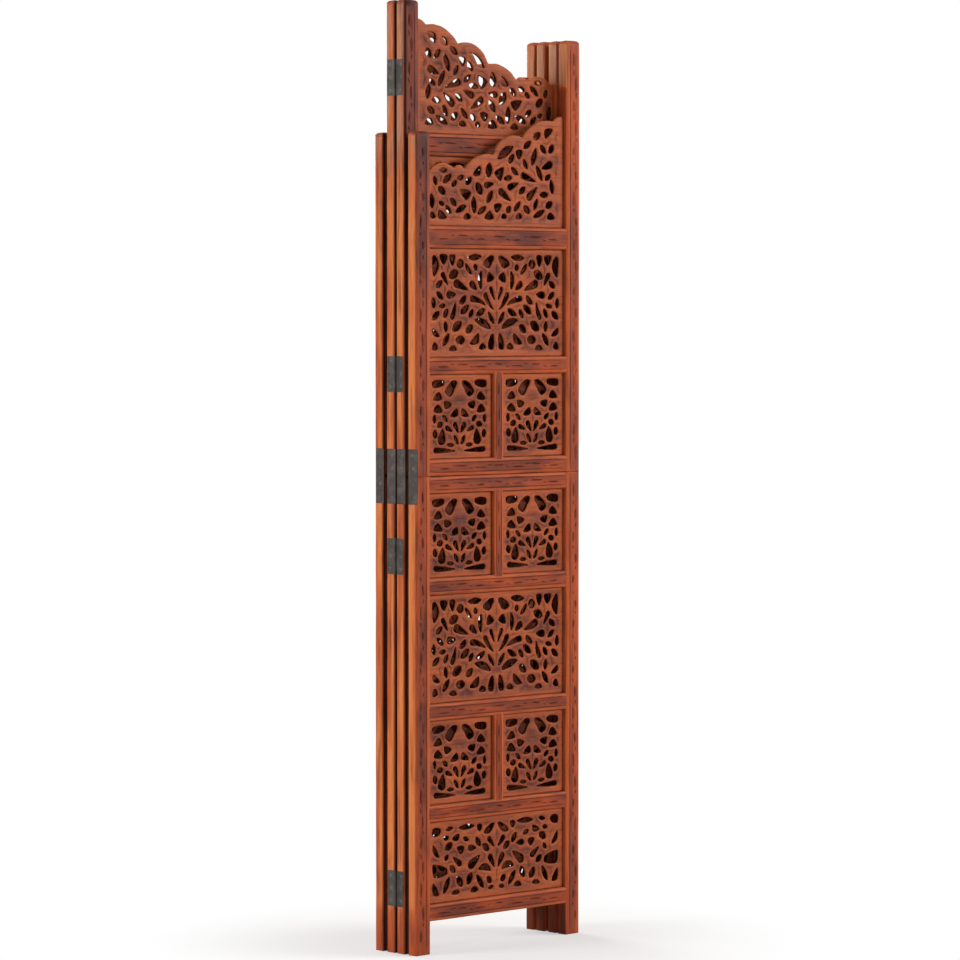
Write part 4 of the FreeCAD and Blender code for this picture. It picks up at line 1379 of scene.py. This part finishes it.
def stage_floor(scene, settings):
    """A pale floor that keeps the screen's shadow and fades to white."""
    material, shade = new_material("floor")
    place = shade.node("ShaderNodeNewGeometry", None, None, "Position")
    flat = place.stretched((1.0, 1.0, 0.0))
    reach = shade.node("ShaderNodeVectorMath", {"operation": "LENGTH"}, {0: flat}, "Value")
    mask = (0.45 + reach.between(0.2, 0.62) * 0.55) * seen_directly(shade)
    paint = shade.node("ShaderNodeBsdfDiffuse", None, {"Color": tuple(settings.floor)}, "BSDF")
    white = shade.node("ShaderNodeEmission", None, {"Color": WHITE, "Strength": 1.0}, "Emission")
    both = shade.node("ShaderNodeMixShader", None, {0: mask, 1: paint, 2: white}, "Shader")
    shade.node("ShaderNodeOutputMaterial", None, {"Surface": both})
    mesh = bpy.data.meshes.new("floor")
    side = 30.0
    corners = [(-side, -side, 0), (side, -side, 0), (side, side, 0), (-side, side, 0)]
    mesh.from_pydata(corners, [], [(0, 1, 2, 3)])
    mesh.materials.append(material)
    floor = bpy.data.objects.new("floor", mesh)
    scene.collection.objects.link(floor)


class SCREEN_OT_stiles(bpy.types.Operator):
    """Carved stiles with rounded arrises and recesses for the fittings"""
    bl_idname = "screen_kit.stiles"
    bl_label = "Carve the stiles"

    def execute(self, context):
        endings = ("_lower_left_stile", "_lower_right_stile", "_upper_left_stile", "_upper_right_stile")
        for panel, node in nodes_ending(*endings):
            heap = stile_heap(node, PLACES[panel], context.scene.screen_frame)
            heap.piece(node + "_carved", PLACES[panel], frame_wood(), node, "frame_wood", 32.0)
        return {"FINISHED"}


class SCREEN_OT_rails(bpy.types.Operator):
    """Carved rails and muntins"""
    bl_idname = "screen_kit.rails"
    bl_label = "Carve the rails"

    def execute(self, context):
        settings = context.scene.screen_frame
        for panel, node in nodes_ending("_lower_rails", "_upper_rails", "_muntins"):
            if node.endswith("muntins"):
                along, margin, warmth = 2, MUNTIN_MARGIN, 0.8
            else:
                along, margin, warmth = 0, RAIL_MARGIN, 0.2
            heap = crossbar_heap(node, PLACES[panel], settings, along, margin, warmth)
            heap.piece(node + "_carved", PLACES[panel], frame_wood(), node, "frame_wood", 32.0)
        return {"FINISHED"}


class SCREEN_OT_boards(bpy.types.Operator):
    """Pierced and veined boards and crests"""
    bl_idname = "screen_kit.boards"
    bl_label = "Pierce the boards"

    def execute(self, context):
        for panel, node in nodes_ending("_wide_boards", "_small_boards", "_crest_board"):
            heap = board_heap(node, PLACES[panel], context.scene.screen_boards)
            heap.piece(node + "_pierced", PLACES[panel], board_wood(), node, "board_wood", 48.0)
        return {"FINISHED"}


class SCREEN_OT_fittings(bpy.types.Operator):
    """Iron hinges and joining plates, and slotted screws"""
    bl_idname = "screen_kit.fittings"
    bl_label = "Fit the ironwork"

    def execute(self, context):
        metal = context.scene.screen_iron
        iron = iron_material("aged_iron", metal.iron, metal.bright, metal.rust)
        rubbed = iron_material("rubbed_iron", metal.bright, metal.screw, metal.rust)
        for node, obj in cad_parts.items():
            if "hinge" in node or node.endswith("plates"):
                obj.data.materials.clear()
                obj.data.materials.append(iron)
        for panel, node in nodes_ending("_screws"):
            heap = screw_heap(node, PLACES[panel])
            heap.piece(node + "_slotted", PLACES[panel], rubbed, node, "iron", 35.0)
        return {"FINISHED"}


OPERATORS = (SCREEN_OT_stage, SCREEN_OT_stiles, SCREEN_OT_rails, SCREEN_OT_boards, SCREEN_OT_fittings)
SETTINGS = {
    "screen_stage": ScreenStageSettings,
    "screen_frame": ScreenFrameSettings,
    "screen_boards": ScreenBoardSettings,
    "screen_wood": ScreenWoodSettings,
    "screen_iron": ScreenIronSettings,
}


class SCREEN_PT_tools(bpy.types.Panel):
    """Lists the steps and settings of the folding screen"""
    bl_idname = "SCREEN_PT_tools"
    bl_label = "Carved folding screen"
    bl_space_type = "VIEW_3D"
    bl_region_type = "UI"
    bl_category = "Screen"

    def draw(self, context):
        for operator in OPERATORS:
            self.layout.operator(operator.bl_idname)
        for name, group in SETTINGS.items():
            box = self.layout.box()
            for entry in group.__annotations__:
                box.prop(getattr(context.scene, name), entry)


def register():
    for group in SETTINGS.values():
        bpy.utils.register_class(group)
    for name, group in SETTINGS.items():
        setattr(bpy.types.Scene, name, PointerProperty(type=group))
    for operator in OPERATORS:
        bpy.utils.register_class(operator)
    bpy.utils.register_class(SCREEN_PT_tools)


def unregister():
    bpy.utils.unregister_class(SCREEN_PT_tools)
    for operator in reversed(OPERATORS):
        bpy.utils.unregister_class(operator)
    for name in SETTINGS:
        delattr(bpy.types.Scene, name)
    for group in SETTINGS.values():
        bpy.utils.unregister_class(group)


def main():
    register()
    bpy.ops.screen_kit.stage()
    bpy.ops.screen_kit.stiles()
    bpy.ops.screen_kit.rails()
    bpy.ops.screen_kit.boards()
    bpy.ops.screen_kit.fittings()
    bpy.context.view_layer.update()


if __name__ == "__main__":
    main()
